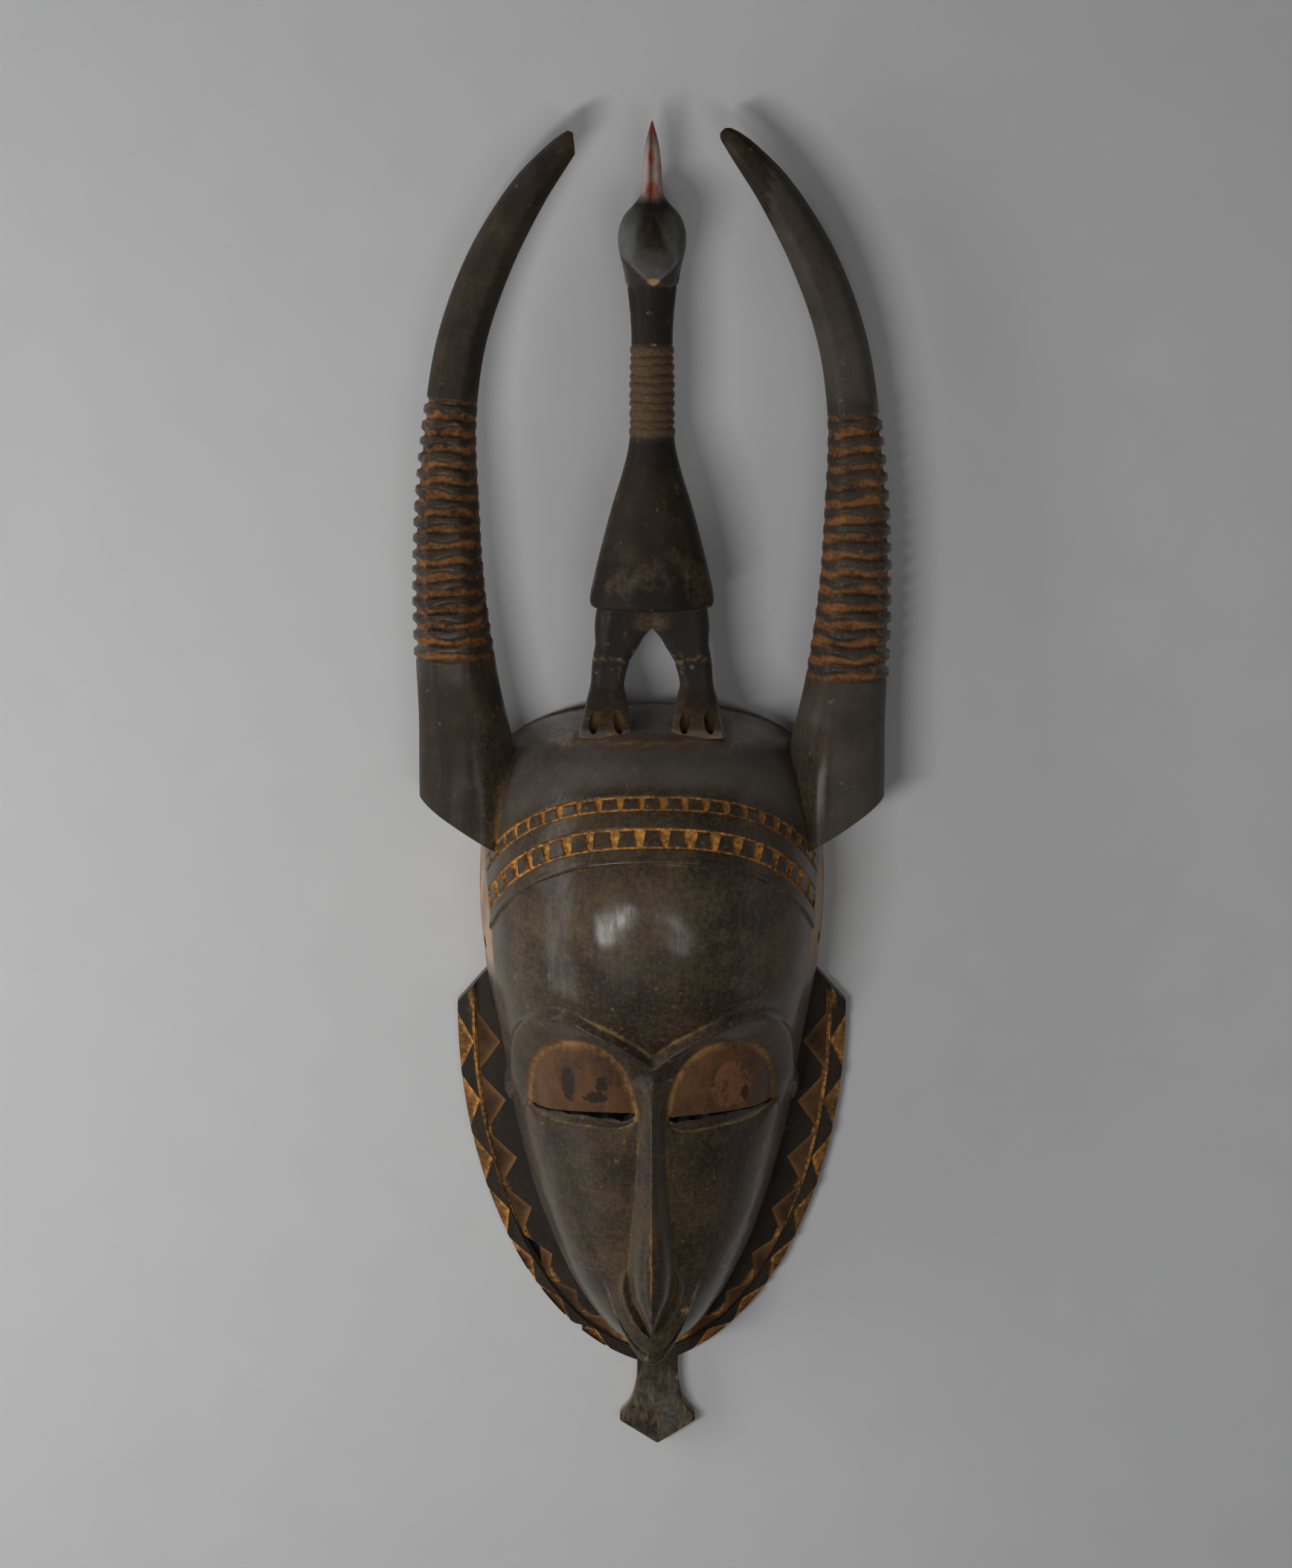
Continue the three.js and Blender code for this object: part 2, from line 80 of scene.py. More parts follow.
# The nose: half width, y and height of the crest
NOSE = [(4, -93, 74), (6.4, -99.5, 84.4), (7.2, -107, 87.4), (5.8, -122, 87.2), (6.8, -150, 85),
        (8.9, -175, 85.3), (10.2, -191, 85.6), (10.2, -199, 85.5), (9.1, -205.5, 85.3), (6.9, -210.5, 84.8),
        (4.7, -215, 83.5), (3, -219, 80.5), (2.3, -221.5, 74), (2, -222.3, 60)]
# The wings of the nose: y, inner edge and outer edge
WINGS = [(-192, 10.2, 10.8), (-197.5, 9.8, 13.2), (-203, 9, 14.3), (-210.5, 6.2, 13), (-215.6, 3.8, 9.8),
         (-218.8, 2.4, 6.6), (-221.2, 1.6, 3.6), (-222.4, 1.2, 1.4)]
WING_RISE = 5
# The muzzle: the lower edge of the upper lip, and how far the lower lip lies below and behind it
LIP = {"y": -230, "corner": 18.8, "climb": 20, "z": 77.5, "fall": 18.5, "slope": 0.52}
LOWER_LIP = {"below": 5.6, "back": 1.5, "half": 19}
MUZZLE_BLEND = 5
# The knob at the outer end of each eye
KNOB = {"x": 62.6, "y": -126, "half": 2.6, "length": 7, "rise": 2.2}

# The tie holes in the rim: x, y, z and radius
RIM_HOLES = [(-72, -59.4, 20, 3), (72, -57, 20, 2.6)]

COLLAR = {"corner": (86, -90), "inner": (72, -74), "bottom": -259, "thickness": 9}
COLLAR_STEER = ((87, -168), (55, -246))
RIDGE = {"inset": 7.3, "half": 0.8, "rise": 0.9}
# The collar's triangles: how far along the edge from its corner the middle of each lies
TRIANGLES = [17.5, 45.5, 72.5, 98.5, 124, 148.5, 172]
TRIANGLE = {"base": 27, "relief": 1.5, "end": 18.5}
# Breaks in the collar's left side: way along the edge and inset of three corners, and the floor at each
SPLIT = (((0.752, 8.4), (0.708, 9.2), (0.733, 13.8)), (4, 4, 5))
NOTCH = (((0.605, -0.6), (0.616, -0.6), (0.6, 9)), (-1, -1, 8.2))
BEARD = {"x": 2.6, "neck": 9.3, "half": 17, "wide": -284, "tip": -296.5, "thickness": 9}

# The middle line of the right horn: x, y and half width
HORN = [(79.5, -30, 21), (80, 25, 20.6), (83.5, 57, 17.2), (86.7, 95, 14.9), (87.3, 135, 13),
        (85.7, 172, 10.7), (80.5, 205, 10), (68.3, 238.5, 9.4), (52, 267, 7.8), (43, 278.5, 6.4),
        (35.5, 287, 4.8), (29.5, 292.5, 2.6)]
# Its thickness as a share of its width, and the height of its middle line at the foot and at the tip
HORN_THICKNESS, HORN_HEIGHT = 0.86, (27, 24)
HORN_FOOT = {"corner": (100.4, 7.4), "inner": (70, -12.6)}
# The way that each of its flat sides faces, in degrees, and where each horn's rings begin and end
HORN_SIDES = (8, 66, 128, 188, 246, 302)
RINGS = {"right": (60.8, 172.7, 15), "left": (69.6, 179, 16)}
RING_RELIEF = 1.15
# The left horn's blunt end: a place on each of its two flats, and the way that the flat faces
LEFT_TIP = (((33, 289, 0), (-1, 0.1, 0)), ((33, 291.4, 0), (-0.46, 0.89, 0)))

# The bird from its hem to its beak: half width, y, half thickness and height
BIRD = [
    (24.5, 91.2, 17.5, 30), (26.3, 92.4, 19.5, 30), (26.5, 95.5, 20, 30), (24.4, 106, 20, 31),
    (21, 120, 19, 31.5), (17, 135, 16, 32), (12.4, 150, 12.5, 32), (9.6, 163, 9.6, 32), (9.2, 186, 9.2, 32),
    (8.8, 209, 8.7, 31.5), (9.6, 220, 8.8, 31), (10.4, 228, 9.2, 31), (10, 233, 9.2, 31.5),
]
NECK_RINGS = {"from": 165, "to": 203.5, "count": 10, "relief": 0.6}
BIRD_HEAD = [
    (9.9, 228.2, 9.4, 31.5), (11, 229.4, 12, 33), (12.2, 236, 14, 33.5), (14.1, 244, 13.5, 32),
    (14.2, 251, 11.8, 30.3), (11.8, 257.5, 9.3, 28.2), (7.4, 262.4, 6.6, 26.4), (5, 266, 5, 25.6),
    (4.2, 272.5, 4.2, 24.9), (3.8, 279.3, 3.4, 24.3), (3, 286, 2.6, 23.7), (2.1, 290, 1.9, 23.2),
    (1.1, 293.6, 1.1, 22.8), (0.3, 296.5, 0.4, 22.5),
]
# The right leg and foot: x, y, half width, height and half thickness
LEG = [
    (11.2, 96, 12.4, 31, 9.6), (11.8, 84.5, 13.6, 31, 9.6), (13.9, 79, 11.3, 31, 9.6), (15, 75, 10, 31, 9.6),
    (17.6, 68, 8.6, 31, 9.6), (19.2, 57, 7.7, 31, 9.6), (19.3, 51, 8.9, 32.6, 9.6), (19.4, 45, 10, 36, 9.6),
    (19.4, 37.2, 12, 40.4, 9.4),
]
TOE_SLOT = {"spread": 5.2, "y": 43.6, "z": 46.4, "half": 2.4, "length": 5.3, "lean": 0.12}


# Curves and shared maths

def smooth_line(points):
    """A centripetal curve through points, as a function of the way along it from 0 to 1."""
    knots = np.array(points, float)
    last = len(knots) - 2
    knots = np.vstack([2 * knots[0] - knots[1], knots, 2 * knots[-1] - knots[-2]])
    spans = np.linalg.norm(np.diff(knots, axis=0), axis=1) ** 0.5

    def at(way):
        place = np.clip(np.asarray(way, float), 0, 1) * (last + 1)
        part = np.minimum(place.astype(int), last)
        t = (place - part)[..., None]
        p0, p1, p2, p3 = (knots[part + i] for i in range(4))
        d0, d1, d2 = (spans[part + i][..., None] for i in range(3))
        leave = ((p1 - p0) / d0 - (p2 - p0) / (d0 + d1) + (p2 - p1) / d1) * d1
        arrive = ((p2 - p1) / d1 - (p3 - p1) / (d1 + d2) + (p3 - p2) / d2) * d1
        bend = 3 * (p2 - p1) - 2 * leave - arrive
        return p1 + leave * t + bend * t ** 2 + (2 * (p1 - p2) + leave + arrive) * t ** 3

    return at


def step(low, high, value):
    """0 below low and 1 above high, or the other way round, with a smooth climb between."""
    t = np.clip((np.asarray(value, float) - low) / (high - low), 0, 1)
    return t * t * (3 - 2 * t)


def bell(value, width):
    """1 where value is 0, falling away to both sides."""
    return np.exp(-(value / width) ** 2)


def mix(a, b, share):
    return a + (b - a) * share


def lengths_along(points):
    """How far along a line of points each of them lies."""
    return np.concatenate([[0], np.cumsum(np.linalg.norm(np.diff(points, axis=0), axis=1))])


def rows_along(*stretches):
    """Heights of rows, from where each stretch starts and how many rows it has up to the next."""
    rows = []
    for (start, count), (end, _) in zip(stretches, stretches[1:]):
        rows.extend(np.linspace(start, end, count, endpoint=False))
    return np.array(rows + [stretches[-1][0]])


def ripple(points, size, seed=0.0):
    """A gentle uneven swell from -1 to 1 over points, with hollows about size apart."""
    x, y, z = (points[:, i] / size * 2 * math.pi for i in range(3))
    return (np.sin(0.9 * x + 0.5 * y + 1.3 * seed) + np.sin(-0.4 * x + 0.8 * y + 0.5 * z + 2.1 + seed)
            + np.sin(0.3 * x - 0.5 * y + 0.9 * z + 4.0 + 2.7 * seed)
            + np.sin(0.6 * x + 1.1 * y - 0.7 * z + 0.7 - seed)) / 4


# Bodies from a sheet of columns and rows

def lattice(columns, rows):
    """A sheet to be wrapped round a body, with the column and the row of each of its corners."""
    bm = bmesh.new()
    bmesh.ops.create_grid(bm, x_segments=columns, y_segments=rows, size=1)
    points = np.array([v.co for v in bm.verts])
    column = np.rint((points[:, 0] + 1) / 2 * columns).astype(int)
    row = np.rint((1 - points[:, 1]) / 2 * rows).astype(int)
    return bm, column % columns, row


def wrapped(bm, places):
    """The sheet with its corners in place, closed along its seam and at its ends."""
    for vert, place in zip(bm.verts, places):
        vert.co = place
    bmesh.ops.remove_doubles(bm, verts=bm.verts, dist=1e-4)
    return facing_out(bm)


def facing_out(bm):
    if bm.calc_volume(signed=True) < 0:
        bmesh.ops.reverse_faces(bm, faces=bm.faces)
    return bm


def lofted(columns, ways, middle, spoke):
    """A body of one ring at each way, closed by a fan at both ends."""
    ways = np.asarray(ways, float)
    bm, column, row = lattice(columns, len(ways) + 1)
    ring = np.clip(row - 1, 0, len(ways) - 1)
    turn = 2 * math.pi * column / columns
    inside = ((row > 0) & (row <= len(ways)))[:, None]
    return wrapped(bm, middle(ways[ring]) + np.where(inside, spoke(ways[ring], turn), 0))


def as_object(bm, name, material):
    mesh = bpy.data.meshes.new(name)
    bm.to_mesh(mesh)
    bm.free()
    obj = bpy.data.objects.new(name, mesh)
    bpy.context.scene.collection.objects.link(obj)
    mesh.materials.append(material)
    return obj


def gathered(objects):
    """One object of several that stand clear of each other."""
    bm = bmesh.new()
    for obj in objects:
        bm.from_mesh(obj.data)
    whole = as_object(bm, objects[0].name, objects[0].data.materials[0])
    for obj in objects:
        bpy.data.objects.remove(obj)
    return whole


def settled(obj):
    """The object's mesh with its modifiers worked in."""
    graph = bpy.context.evaluated_depsgraph_get()
    mesh = bpy.data.meshes.new_from_object(obj.evaluated_get(graph))
    obj.modifiers.clear()
    obj.data = mesh
    return obj


def thinned(obj, triangles):
    """The object with its flatter faces joined, down to a number of triangles."""
    modifier = obj.modifiers.new("thin", "DECIMATE")
    modifier.ratio = triangles / sum(len(face.vertices) - 2 for face in obj.data.polygons)
    return settled(obj)


def worked(base, operation, tools):
    """The base joined with or cut by its tools, which are used up."""
    for tool in tools:
        modifier = base.modifiers.new(tool.name, "BOOLEAN")
        modifier.operation = operation
        modifier.solver = "MANIFOLD"
        modifier.material_mode = "TRANSFER"
        modifier.object = tool
    settled(base)
    for tool in tools:
        bpy.data.objects.remove(tool)
    return base


# The head

head_samples = smooth_line(HEAD_STATIONS)(np.linspace(0, 1, 6001))


def head_section(y):
    """Half width and depth of the head at a height."""
    heights = -head_samples[:, 1]
    return np.interp(-y, heights, head_samples[:, 0]), np.interp(-y, heights, head_samples[:, 2])


def head_height(x, y):
    half, depth = head_section(y)
    side = np.minimum(np.abs(x) / np.maximum(half, 1e-6), 1)
    return depth * np.sqrt(1 - side ** ARCH_POWER)


def head_normals(points):
    """Outward normals of the plain head form."""
    x, y, z = points.T
    half, depth = head_section(y)
    half_up, depth_up = head_section(y + 0.5)
    half_low, depth_low = head_section(y - 0.5)
    half, depth = np.maximum(half, 1), np.maximum(depth, 1)
    side = np.abs(x) / half
    normal = np.stack([
        ARCH_POWER * side ** (ARCH_POWER - 1) * np.sign(x) / half,
        -ARCH_POWER * side ** ARCH_POWER * (half_up - half_low) / half
        - 2 * z ** 2 * (depth_up - depth_low) / depth ** 3,
        2 * z / depth ** 2,
    ], axis=1)
    return normal / np.maximum(np.linalg.norm(normal, axis=1), 1e-9)[:, None]


def plane_tilt(plane):
    return BAND_TILT * np.clip((plane - TILT_ENDS[1]) / (TILT_ENDS[0] - TILT_ENDS[1]), 0, 1)


def on_plane(plane, arch):
    """Where the head's arch crosses a row's tilted plane."""
    low, high = np.zeros_like(plane), np.ones_like(plane)
    steps = np.linspace(0, 1, len(head_samples))
    tilt = plane_tilt(plane)
    side = np.abs(np.sin(arch)) ** (2 / ARCH_POWER)
    for _ in range(22):
        way = (low + high) / 2
        half, y, depth = (np.interp(way, steps, head_samples[:, i]) for i in range(3))
        drop = BAND_DROP * (half * side / HALF_WIDTH) ** 4
        above = y + drop + tilt * (DEPTH - depth * np.cos(arch)) > plane
        low, high = np.where(above, way, low), np.where(above, high, way)
    return half * side * np.sign(arch), y, depth * np.cos(arch)


def plane_of(points):
    """The band plane that a point of the head's front lies on."""
    drop = BAND_DROP * (np.abs(points[:, 0]) / HALF_WIDTH) ** 4
    return points[:, 1] + drop + BAND_TILT * (DEPTH - points[:, 2])


def groove(value, top, low, edge=0.4):
    """1 inside a groove from top down to low, with sloping edges."""
    return step(top, top - edge, value) * step(low, low + edge, value)


def band_lines(plane):
    """The four sunk lines that the gaps of the headbands run between."""
    sunk = np.zeros_like(plane)
    for band in (UPPER_BAND, LOWER_BAND):
        sunk = np.maximum(sunk, groove(plane, band["top"], band["top"] - 1.8))
        sunk = np.maximum(sunk, groove(plane, band["low"] + 1.6, band["low"]))
    return sunk


def slit_line(side, face_side=0):
    """The slit's upper edge. The left one (-1) lies flatter than the right one (1)."""
    level = EYE["y"] - SLIT["drop"] + SLIT["climb"] * (1 - side) / 2 + SLIT["rise"] * (1 - side ** 2)
    return level + SLIT["skew"] * side * face_side


def slit_height(side):
    """The slit opens from a point outside to a blunt end by the nose."""
    return SLIT["height"] * (0.55 - 0.42 * side) * np.sqrt(np.maximum(1 - np.abs(side) ** 7, 0))


def lid_reach(x, y):
    """How far out on the upper lid a point is: 1 on the lid's edge. x counts from the nose outwards."""
    side = (x - EYE["x"]) / EYE["half"]
    power = np.where(side < 0, LID_POWERS[0], LID_POWERS[1])
    up = np.maximum((y - EYE["y"]) / EYE["height"], 0)
    return (np.abs(side) ** power + up ** power) ** (1 / power)


brow_line = smooth_line([(x, y, 0) for x, y in BROW])(np.linspace(0, 1, 220))[:, :2]


def brow_distance(x, y):
    """Signed distance to the brow's crest, positive above it, and the way along it."""
    away = np.full(x.shape, 1e9)
    way = np.zeros(x.shape)
    sign = np.ones(x.shape)
    lines = np.gradient(brow_line, axis=0)
    for i in range(len(brow_line)):
        dx, dy = x - brow_line[i, 0], y - brow_line[i, 1]
        distance = dx * dx + dy * dy
        nearer = distance < away
        away = np.where(nearer, distance, away)
        way = np.where(nearer, i / (len(brow_line) - 1), way)
        sign = np.where(nearer, np.sign(lines[i, 0] * dy - lines[i, 1] * dx), sign)
    return np.sqrt(away) * sign, way


def eye_relief(x, y, face_side):
    """The brow, the lids and the ledge below the slit, as a rise above the plain head."""
    distance, way = brow_distance(x, y)
    out = np.maximum(distance, 0)
    fade = np.minimum(1, (1 - way) * 6)
    rounded = np.interp(out, [0, 0.7, 2.6, 5, 10], [BROW_RISE, 1.5, -0.5, -0.4, 0])
    creased = np.interp(out, [0, 0.7, 2.6, 4.2, 8, 13], [BROW_RISE, 1.2, -2.3, -1.6, -0.4, 0])
    above = mix(creased, rounded, step(0.5, 0.68, way)) * fade
    reach = lid_reach(x, y)
    to_lid = np.hypot(x - EYE["x"], y - EYE["y"]) * np.maximum(1 - 1 / np.maximum(reach, 1e-6), 0)
    share = -np.minimum(distance, 0) / np.maximum(-np.minimum(distance, 0) + to_lid, 1e-6)
    band = mix(BROW_RISE * fade, -EYE["sink"], share ** 1.15)
    side = (x - EYE["x"]) / EYE["half"]
    low = slit_line(side, face_side)
    ends = step(-133, -123, y)
    rise = np.where(distance > 0, above, band * np.where(y < -122, ends, 1))
    lid = EYE["bulge"] - (EYE["bulge"] + EYE["sink"]) * np.minimum(reach, 1) ** 3.2
    rise = np.where((reach < 1) & (y > low), lid, rise)
    below = low - slit_height(side) - y
    width = 4.6 * (1 - np.minimum(np.abs(side), 1) ** 4) + 0.6
    ledge = np.interp(below / width, [0, 0.12, 0.75, 1, 1.3, 2.6], [-0.9, 0.1, -0.7, -2.1, -0.8, 0])
    beneath = (y <= low) & (np.abs(side) < 1.12)
    ledge = mix(ledge, -EYE["sink"] * step(2.0, 0.2, below / width), step(0.9, 1.1, np.abs(side)))
    return np.where(beneath, ledge * step(1.12, 1.02, np.abs(side)), rise)


nose_samples = smooth_line(NOSE)(np.linspace(0, 1, 4001))[::-1]


def nose_height(x, y):
    half, crest = (np.interp(y, nose_samples[:, 1], nose_samples[:, i]) for i in (0, 2))
    foot = np.minimum(head_height(half, y) - 0.6, crest - 6)
    side = np.abs(x) / half
    fullness = 1.5 + 1.2 * step(-165, -192, y)
    wedge = crest - (crest - foot) * (0.13 * np.minimum(side, 1) ** 0.6 + 0.87 * side ** fullness)
    inside = (y < NOSE[0][1]) & (y > NOSE[-1][1])
    return np.where(inside & (side < 1.6), wedge, -50)


def lip_plane(x, y):
    """The upper lip before its lower edge is cut, with that edge's y and z."""
    side = np.minimum(np.abs(x) / LIP["corner"], 1.3)
    edge = LIP["y"] + LIP["climb"] * side ** 1.8
    top = LIP["z"] - LIP["fall"] * side ** 1.7
    return top - LIP["slope"] * (y - edge), edge, top


def wing_height(x, y):
    heights = [-w[0] for w in WINGS]
    inner = np.interp(-y, heights, [w[1] for w in WINGS])
    outer = np.interp(-y, heights, [w[2] for w in WINGS])
    share = (np.abs(x) - inner) / np.maximum(outer - inner, 0.1)
    dome = np.clip(share / 0.68, 0, 1) ** 0.85 * np.sqrt(1 - (np.clip(share - 0.68, 0, 0.32) / 0.32) ** 2)
    inside = (share > 0) & (share < 1) & (y < WINGS[0][0]) & (y > WINGS[-1][0])
    base = np.maximum(lip_plane(x, y)[0], head_height(x, y))
    return np.where(inside, base + WING_RISE * dome * step(-191, -203, y), -50)


def muzzle_height(x, y):
    """The plane of the upper lip down to its edge, and the lower lip set back below it."""
    upper, edge, top = lip_plane(x, y)
    lower_edge = edge - LOWER_LIP["below"] * np.maximum(1 - (np.abs(x) / LOWER_LIP["half"]) ** 2, 0)
    lower = top - LOWER_LIP["back"] - 0.25 * (edge - y)
    lower = np.where(y < lower_edge, lower - 5 * (lower_edge - y), lower)
    parting = groove(y, edge, edge - 1.7, 0.6) * 2.2
    return np.where(y >= edge, upper, lower - parting)


def soft_union(a, b, blend):
    """The higher of two heights, with the corner between them filled."""
    return (a + b + np.sqrt((a - b) ** 2 + blend ** 2)) / 2


def knob_rise(x, y, points):
    out = ((np.abs(x) - KNOB["x"]) / KNOB["half"]) ** 2 + ((y - KNOB["y"]) / KNOB["length"]) ** 2
    bump = KNOB["rise"] * np.sqrt(np.maximum(1 - out, 0))
    return bump * (1 + 0.35 * ripple(points, 5))


def carved_head(points):
    """Moves the plain head's front to the carved surface."""
    x, y, z = points.T
    front = z > 0.5
    plane = plane_of(points)
    lift = z / np.maximum(head_section(y)[1], 1)
    arch = np.arctan2(np.sin(np.arccos(np.clip(lift, 0, 1))), lift)
    patinated = step(BAND_REACH + 0.02, BAND_REACH - 0.01, arch)
    rise = 0.22 * ripple(points, 34) + 0.1 * ripple(points, 13, 2)
    rise = rise - BAND_DEPTH * band_lines(plane) * patinated
    below = np.maximum(HAIRLINE - plane, 0)
    rise = rise - 1.1 * step(0, 0.5, below) * np.exp(-below / 22) * patinated
    rise = rise + 0.35 * bell(plane - HAIRLINE - 1.2, 0.9) * patinated
    face = (y < -60) & (y > -150)
    relief = np.zeros_like(x)
    relief[face] = eye_relief(np.abs(x[face]), y[face], np.sign(x[face]))
    rise = rise + relief + knob_rise(x, y, points)
    raw = raw_wall(points)
    rise = rise - 0.7 * raw
    moved = points + head_normals(points) * (rise * front)[:, None]
    x, y, z = moved.T
    muzzle = muzzle_height(x, y)
    edge = lip_plane(x, y)[1]
    blend = MUZZLE_BLEND * step(edge - 0.2, edge + 5, y) * step(-175, -190, y) * step(25, 18, np.abs(x))
    jaw = np.where(y < -170, soft_union(z, muzzle, blend), z)
    root = 3.5 * step(-124, -108, y)
    top = np.maximum(soft_union(jaw, nose_height(x, y), root), wing_height(x, y))
    low_face = (y < NOSE[0][1]) & (np.abs(x) < 26) & front
    moved[:, 2] = np.where(low_face, top, z)
    return moved


def raw_wall(points):
    """1 on the bare side wall between the horns and the collar, behind the edge of the patina."""
    x, y, z = points.T
    high = 12 + 21 * step(-6, -38, y)
    edge = high * step(-2, -12, y) * step(-82, -72, y) + 4 + 1.4 * ripple(points, 15, 1)
    return step(edge + 0.6, edge - 0.6, z) * step(-74, -62, y)


def plain_head():
    planes = rows_along(*ROW_PLAN)
    rows = len(planes) - 1
    columns = FRONT_COLUMNS + BACK_COLUMNS
    bm, column, row = lattice(columns, rows)
    offset = (column + columns // 2) % columns - columns // 2
    front = FRONT_COLUMNS // 2
    share = np.clip(offset / front, -1, 1)
    arch = math.pi / 2 * (CENTRE_SHARE * share + (1 - CENTRE_SHARE) * share ** 3)
    back = np.maximum(np.abs(offset) - front, 0) / (BACK_COLUMNS / 2)
    x, y, z = on_plane(planes[row].astype(float), arch)
    z = np.where(np.abs(offset) >= front, 0, z)
    return bm, np.stack([x * (1 - back), y, z], axis=1)


def head():
    bm, points = plain_head()
    wrapped(bm, carved_head(points))
    front = [vert for vert in bm.verts if vert.co.z > 3]
    for _ in range(2):
        bmesh.ops.smooth_vert(bm, verts=front, factor=0.5, use_axis_x=True, use_axis_y=True, use_axis_z=True)
    return thinned(as_object(bm, "head", patina), HEAD_TRIANGLES)


def along_band(plane, counts):
    """Arch angles that space a number of gaps evenly along a headband, and their pitch."""
    fine = np.linspace(-BAND_REACH, BAND_REACH, 1201)
    points = np.stack(on_plane(np.full(fine.shape, float(plane)), fine), axis=1)
    lengths = lengths_along(points)
    pitch = lengths[-1] / counts
    return np.interp(pitch * (np.arange(counts) + 0.5), lengths, fine), pitch


def band_gap(band, angle, pitch, number):
    """A gap between two teeth: a drop, wide above and narrow below, sunk square into the head."""
    middle = (band["top"] + band["low"]) / 2
    near, ahead = (Vector(value) for value in
                   np.stack(on_plane(np.full(2, middle), np.array([angle, angle + 0.01])), axis=1))
    normal = Vector(head_normals(np.array([near]))[0])
    across = (ahead - near - normal * (ahead - near).dot(normal)).normalized()
    up = normal.cross(across)
    tall = (band["top"] - band["low"]) / 2 / (up.y - BAND_TILT * up.z) * 0.9
    wide, low = band["gap"]
    uneven = 1 + 0.14 * math.sin(number * 2.4) + 0.08 * math.sin(number * 5.3)
    bm = bmesh.new()
    bmesh.ops.create_cone(bm, cap_ends=True, segments=16, radius1=1, radius2=1, depth=1)
    for vert in bm.verts:
        high = vert.co.z > 0
        u, v = (math.copysign(abs(value) ** 0.55, value) for value in vert.co.xy)
        half = pitch * mix(low, wide, (v + 1) / 2) / 2 * uneven * (1.1 if high else 0.86)
        depth = 3 if high else -BAND_DEPTH - 0.15
        vert.co = near + across * (u * half) + up * (v * tall) + normal * depth
    return bm


def gaps():
    cutters = []
    for band in (UPPER_BAND, LOWER_BAND):
        angles, pitch = along_band((band["top"] + band["low"]) / 2, band["gaps"])
        for number, angle in enumerate(angles):
            cutters.append(as_object(facing_out(band_gap(band, angle, pitch, number)), "gap", gold_cut))
    return gathered(cutters)


def hollow():
    """The hollow back, worked with a gouge."""
    columns, rows, front, open_end = 60, 64, 24, -8
    bm, column, row = lattice(columns, rows)
    turn = (column + columns // 2) % columns - columns // 2
    planes = mix(CROWN, CHIN, row / rows)
    half, depth = head_section(planes)
    arch = np.clip(turn / front, -1, 1) * math.pi / 2
    back = np.maximum(np.abs(turn) - front, 0) / (columns // 2 - front)
    side = np.abs(np.sin(arch)) ** (2 / ARCH_POWER) * np.sign(arch)
    middle, tall = (CROWN + CHIN) / 2, (CROWN - CHIN) / 2
    points = np.stack([
        half * side * (1 - back) * (HALF_WIDTH - WALL) / HALF_WIDTH,
        middle + (planes - middle) * (tall - WALL) / tall,
        np.where(np.abs(turn) >= front, open_end, depth * np.cos(arch) * (DEPTH - WALL) / DEPTH),
    ], axis=1)
    points[:, 2] += np.where(points[:, 2] > 3, 0.8 * ripple(points, 17, 5), 0)
    return as_object(wrapped(bm, points), "hollow", raw_cut)


def slit(side_sign):
    """The slit to look through, open to the hollow over its inner part."""
    bm = bmesh.new()
    bmesh.ops.create_grid(bm, x_segments=16, y_segments=1, size=1)
    for vert in bm.verts:
        side = vert.co.x * 0.99
        top = slit_line(side, side_sign) + 0.3 + 0.12 * math.sin(19 * side)
        tall = slit_height(side) * (1 if side_sign < 0 else 0.8) + 0.3
        y = top if vert.co.y > 0 else top - tall * (1 + 0.12 * math.sin(13 * side + side_sign))
        vert.co = (side_sign * (EYE["x"] + EYE["half"] * side), y, WALL)
    made = bmesh.ops.extrude_face_region(bm, geom=bm.faces[:])
    top = [v for v in made["geom"] if isinstance(v, bmesh.types.BMVert)]
    bmesh.ops.translate(bm, verts=top, vec=(0, 0, DEPTH))
    bmesh.ops.recalc_face_normals(bm, faces=bm.faces)
    return as_object(bm, "slit", slit_cut)


def rim_hole(x, y, z, radius):
    bm = bmesh.new()
    turn = Matrix.Rotation(math.pi / 2, 4, "Y")
    bmesh.ops.create_cone(bm, cap_ends=True, segments=16, radius1=radius, radius2=radius, depth=34,
                          matrix=Matrix.Translation((x, y, z)) @ turn)
    return as_object(bm, "rim_hole", slit_cut)


# The horns

def rounded_sides(turn, sides, sharp):
    """Spoke lengths of a rounded polygon whose flat sides face the given angles."""
    total = sum(np.maximum(np.cos(turn - math.radians(side)), 0) ** sharp for side in sides)
    return np.maximum(total, 1e-9) ** (-1 / sharp)


def ring_wave(y, turn, span):
    """Where a ring stands (1) and where the groove below it is (0)."""
    low, high, count = span
    side = np.degrees(turn + math.pi) % 360 - 180
    outer, inner = step(34, 50, side), step(-22, -38, side)
    sway = 0.05 * np.sin(side / 13 + y / 9) + 0.05 * np.sin(side / 23 - y / 17)
    phase = (y - low) / (high - low) * count + 0.26 * outer + 0.14 * inner + sway
    number = np.floor(phase)
    scallop = 0.09 * np.cos(side / 12 + 2.3 * number) + 0.06 * np.sin(side / 29 + 5.1 * number)
    place = phase - number
    foot = 0.4 + scallop * (1 - 0.5 * outer)
    return step(foot - 0.14, foot + 0.12, place) * step(1.02, 0.86, place)


def ring_strength(y, turn, span):
    low, high, _ = span
    inner = step(-0.35, -0.95, np.sin(turn))
    return step(low - 1.5, low + 1.5, y) * step(high + 1.5, high - 1.5, y) * (1 - 0.75 * inner)


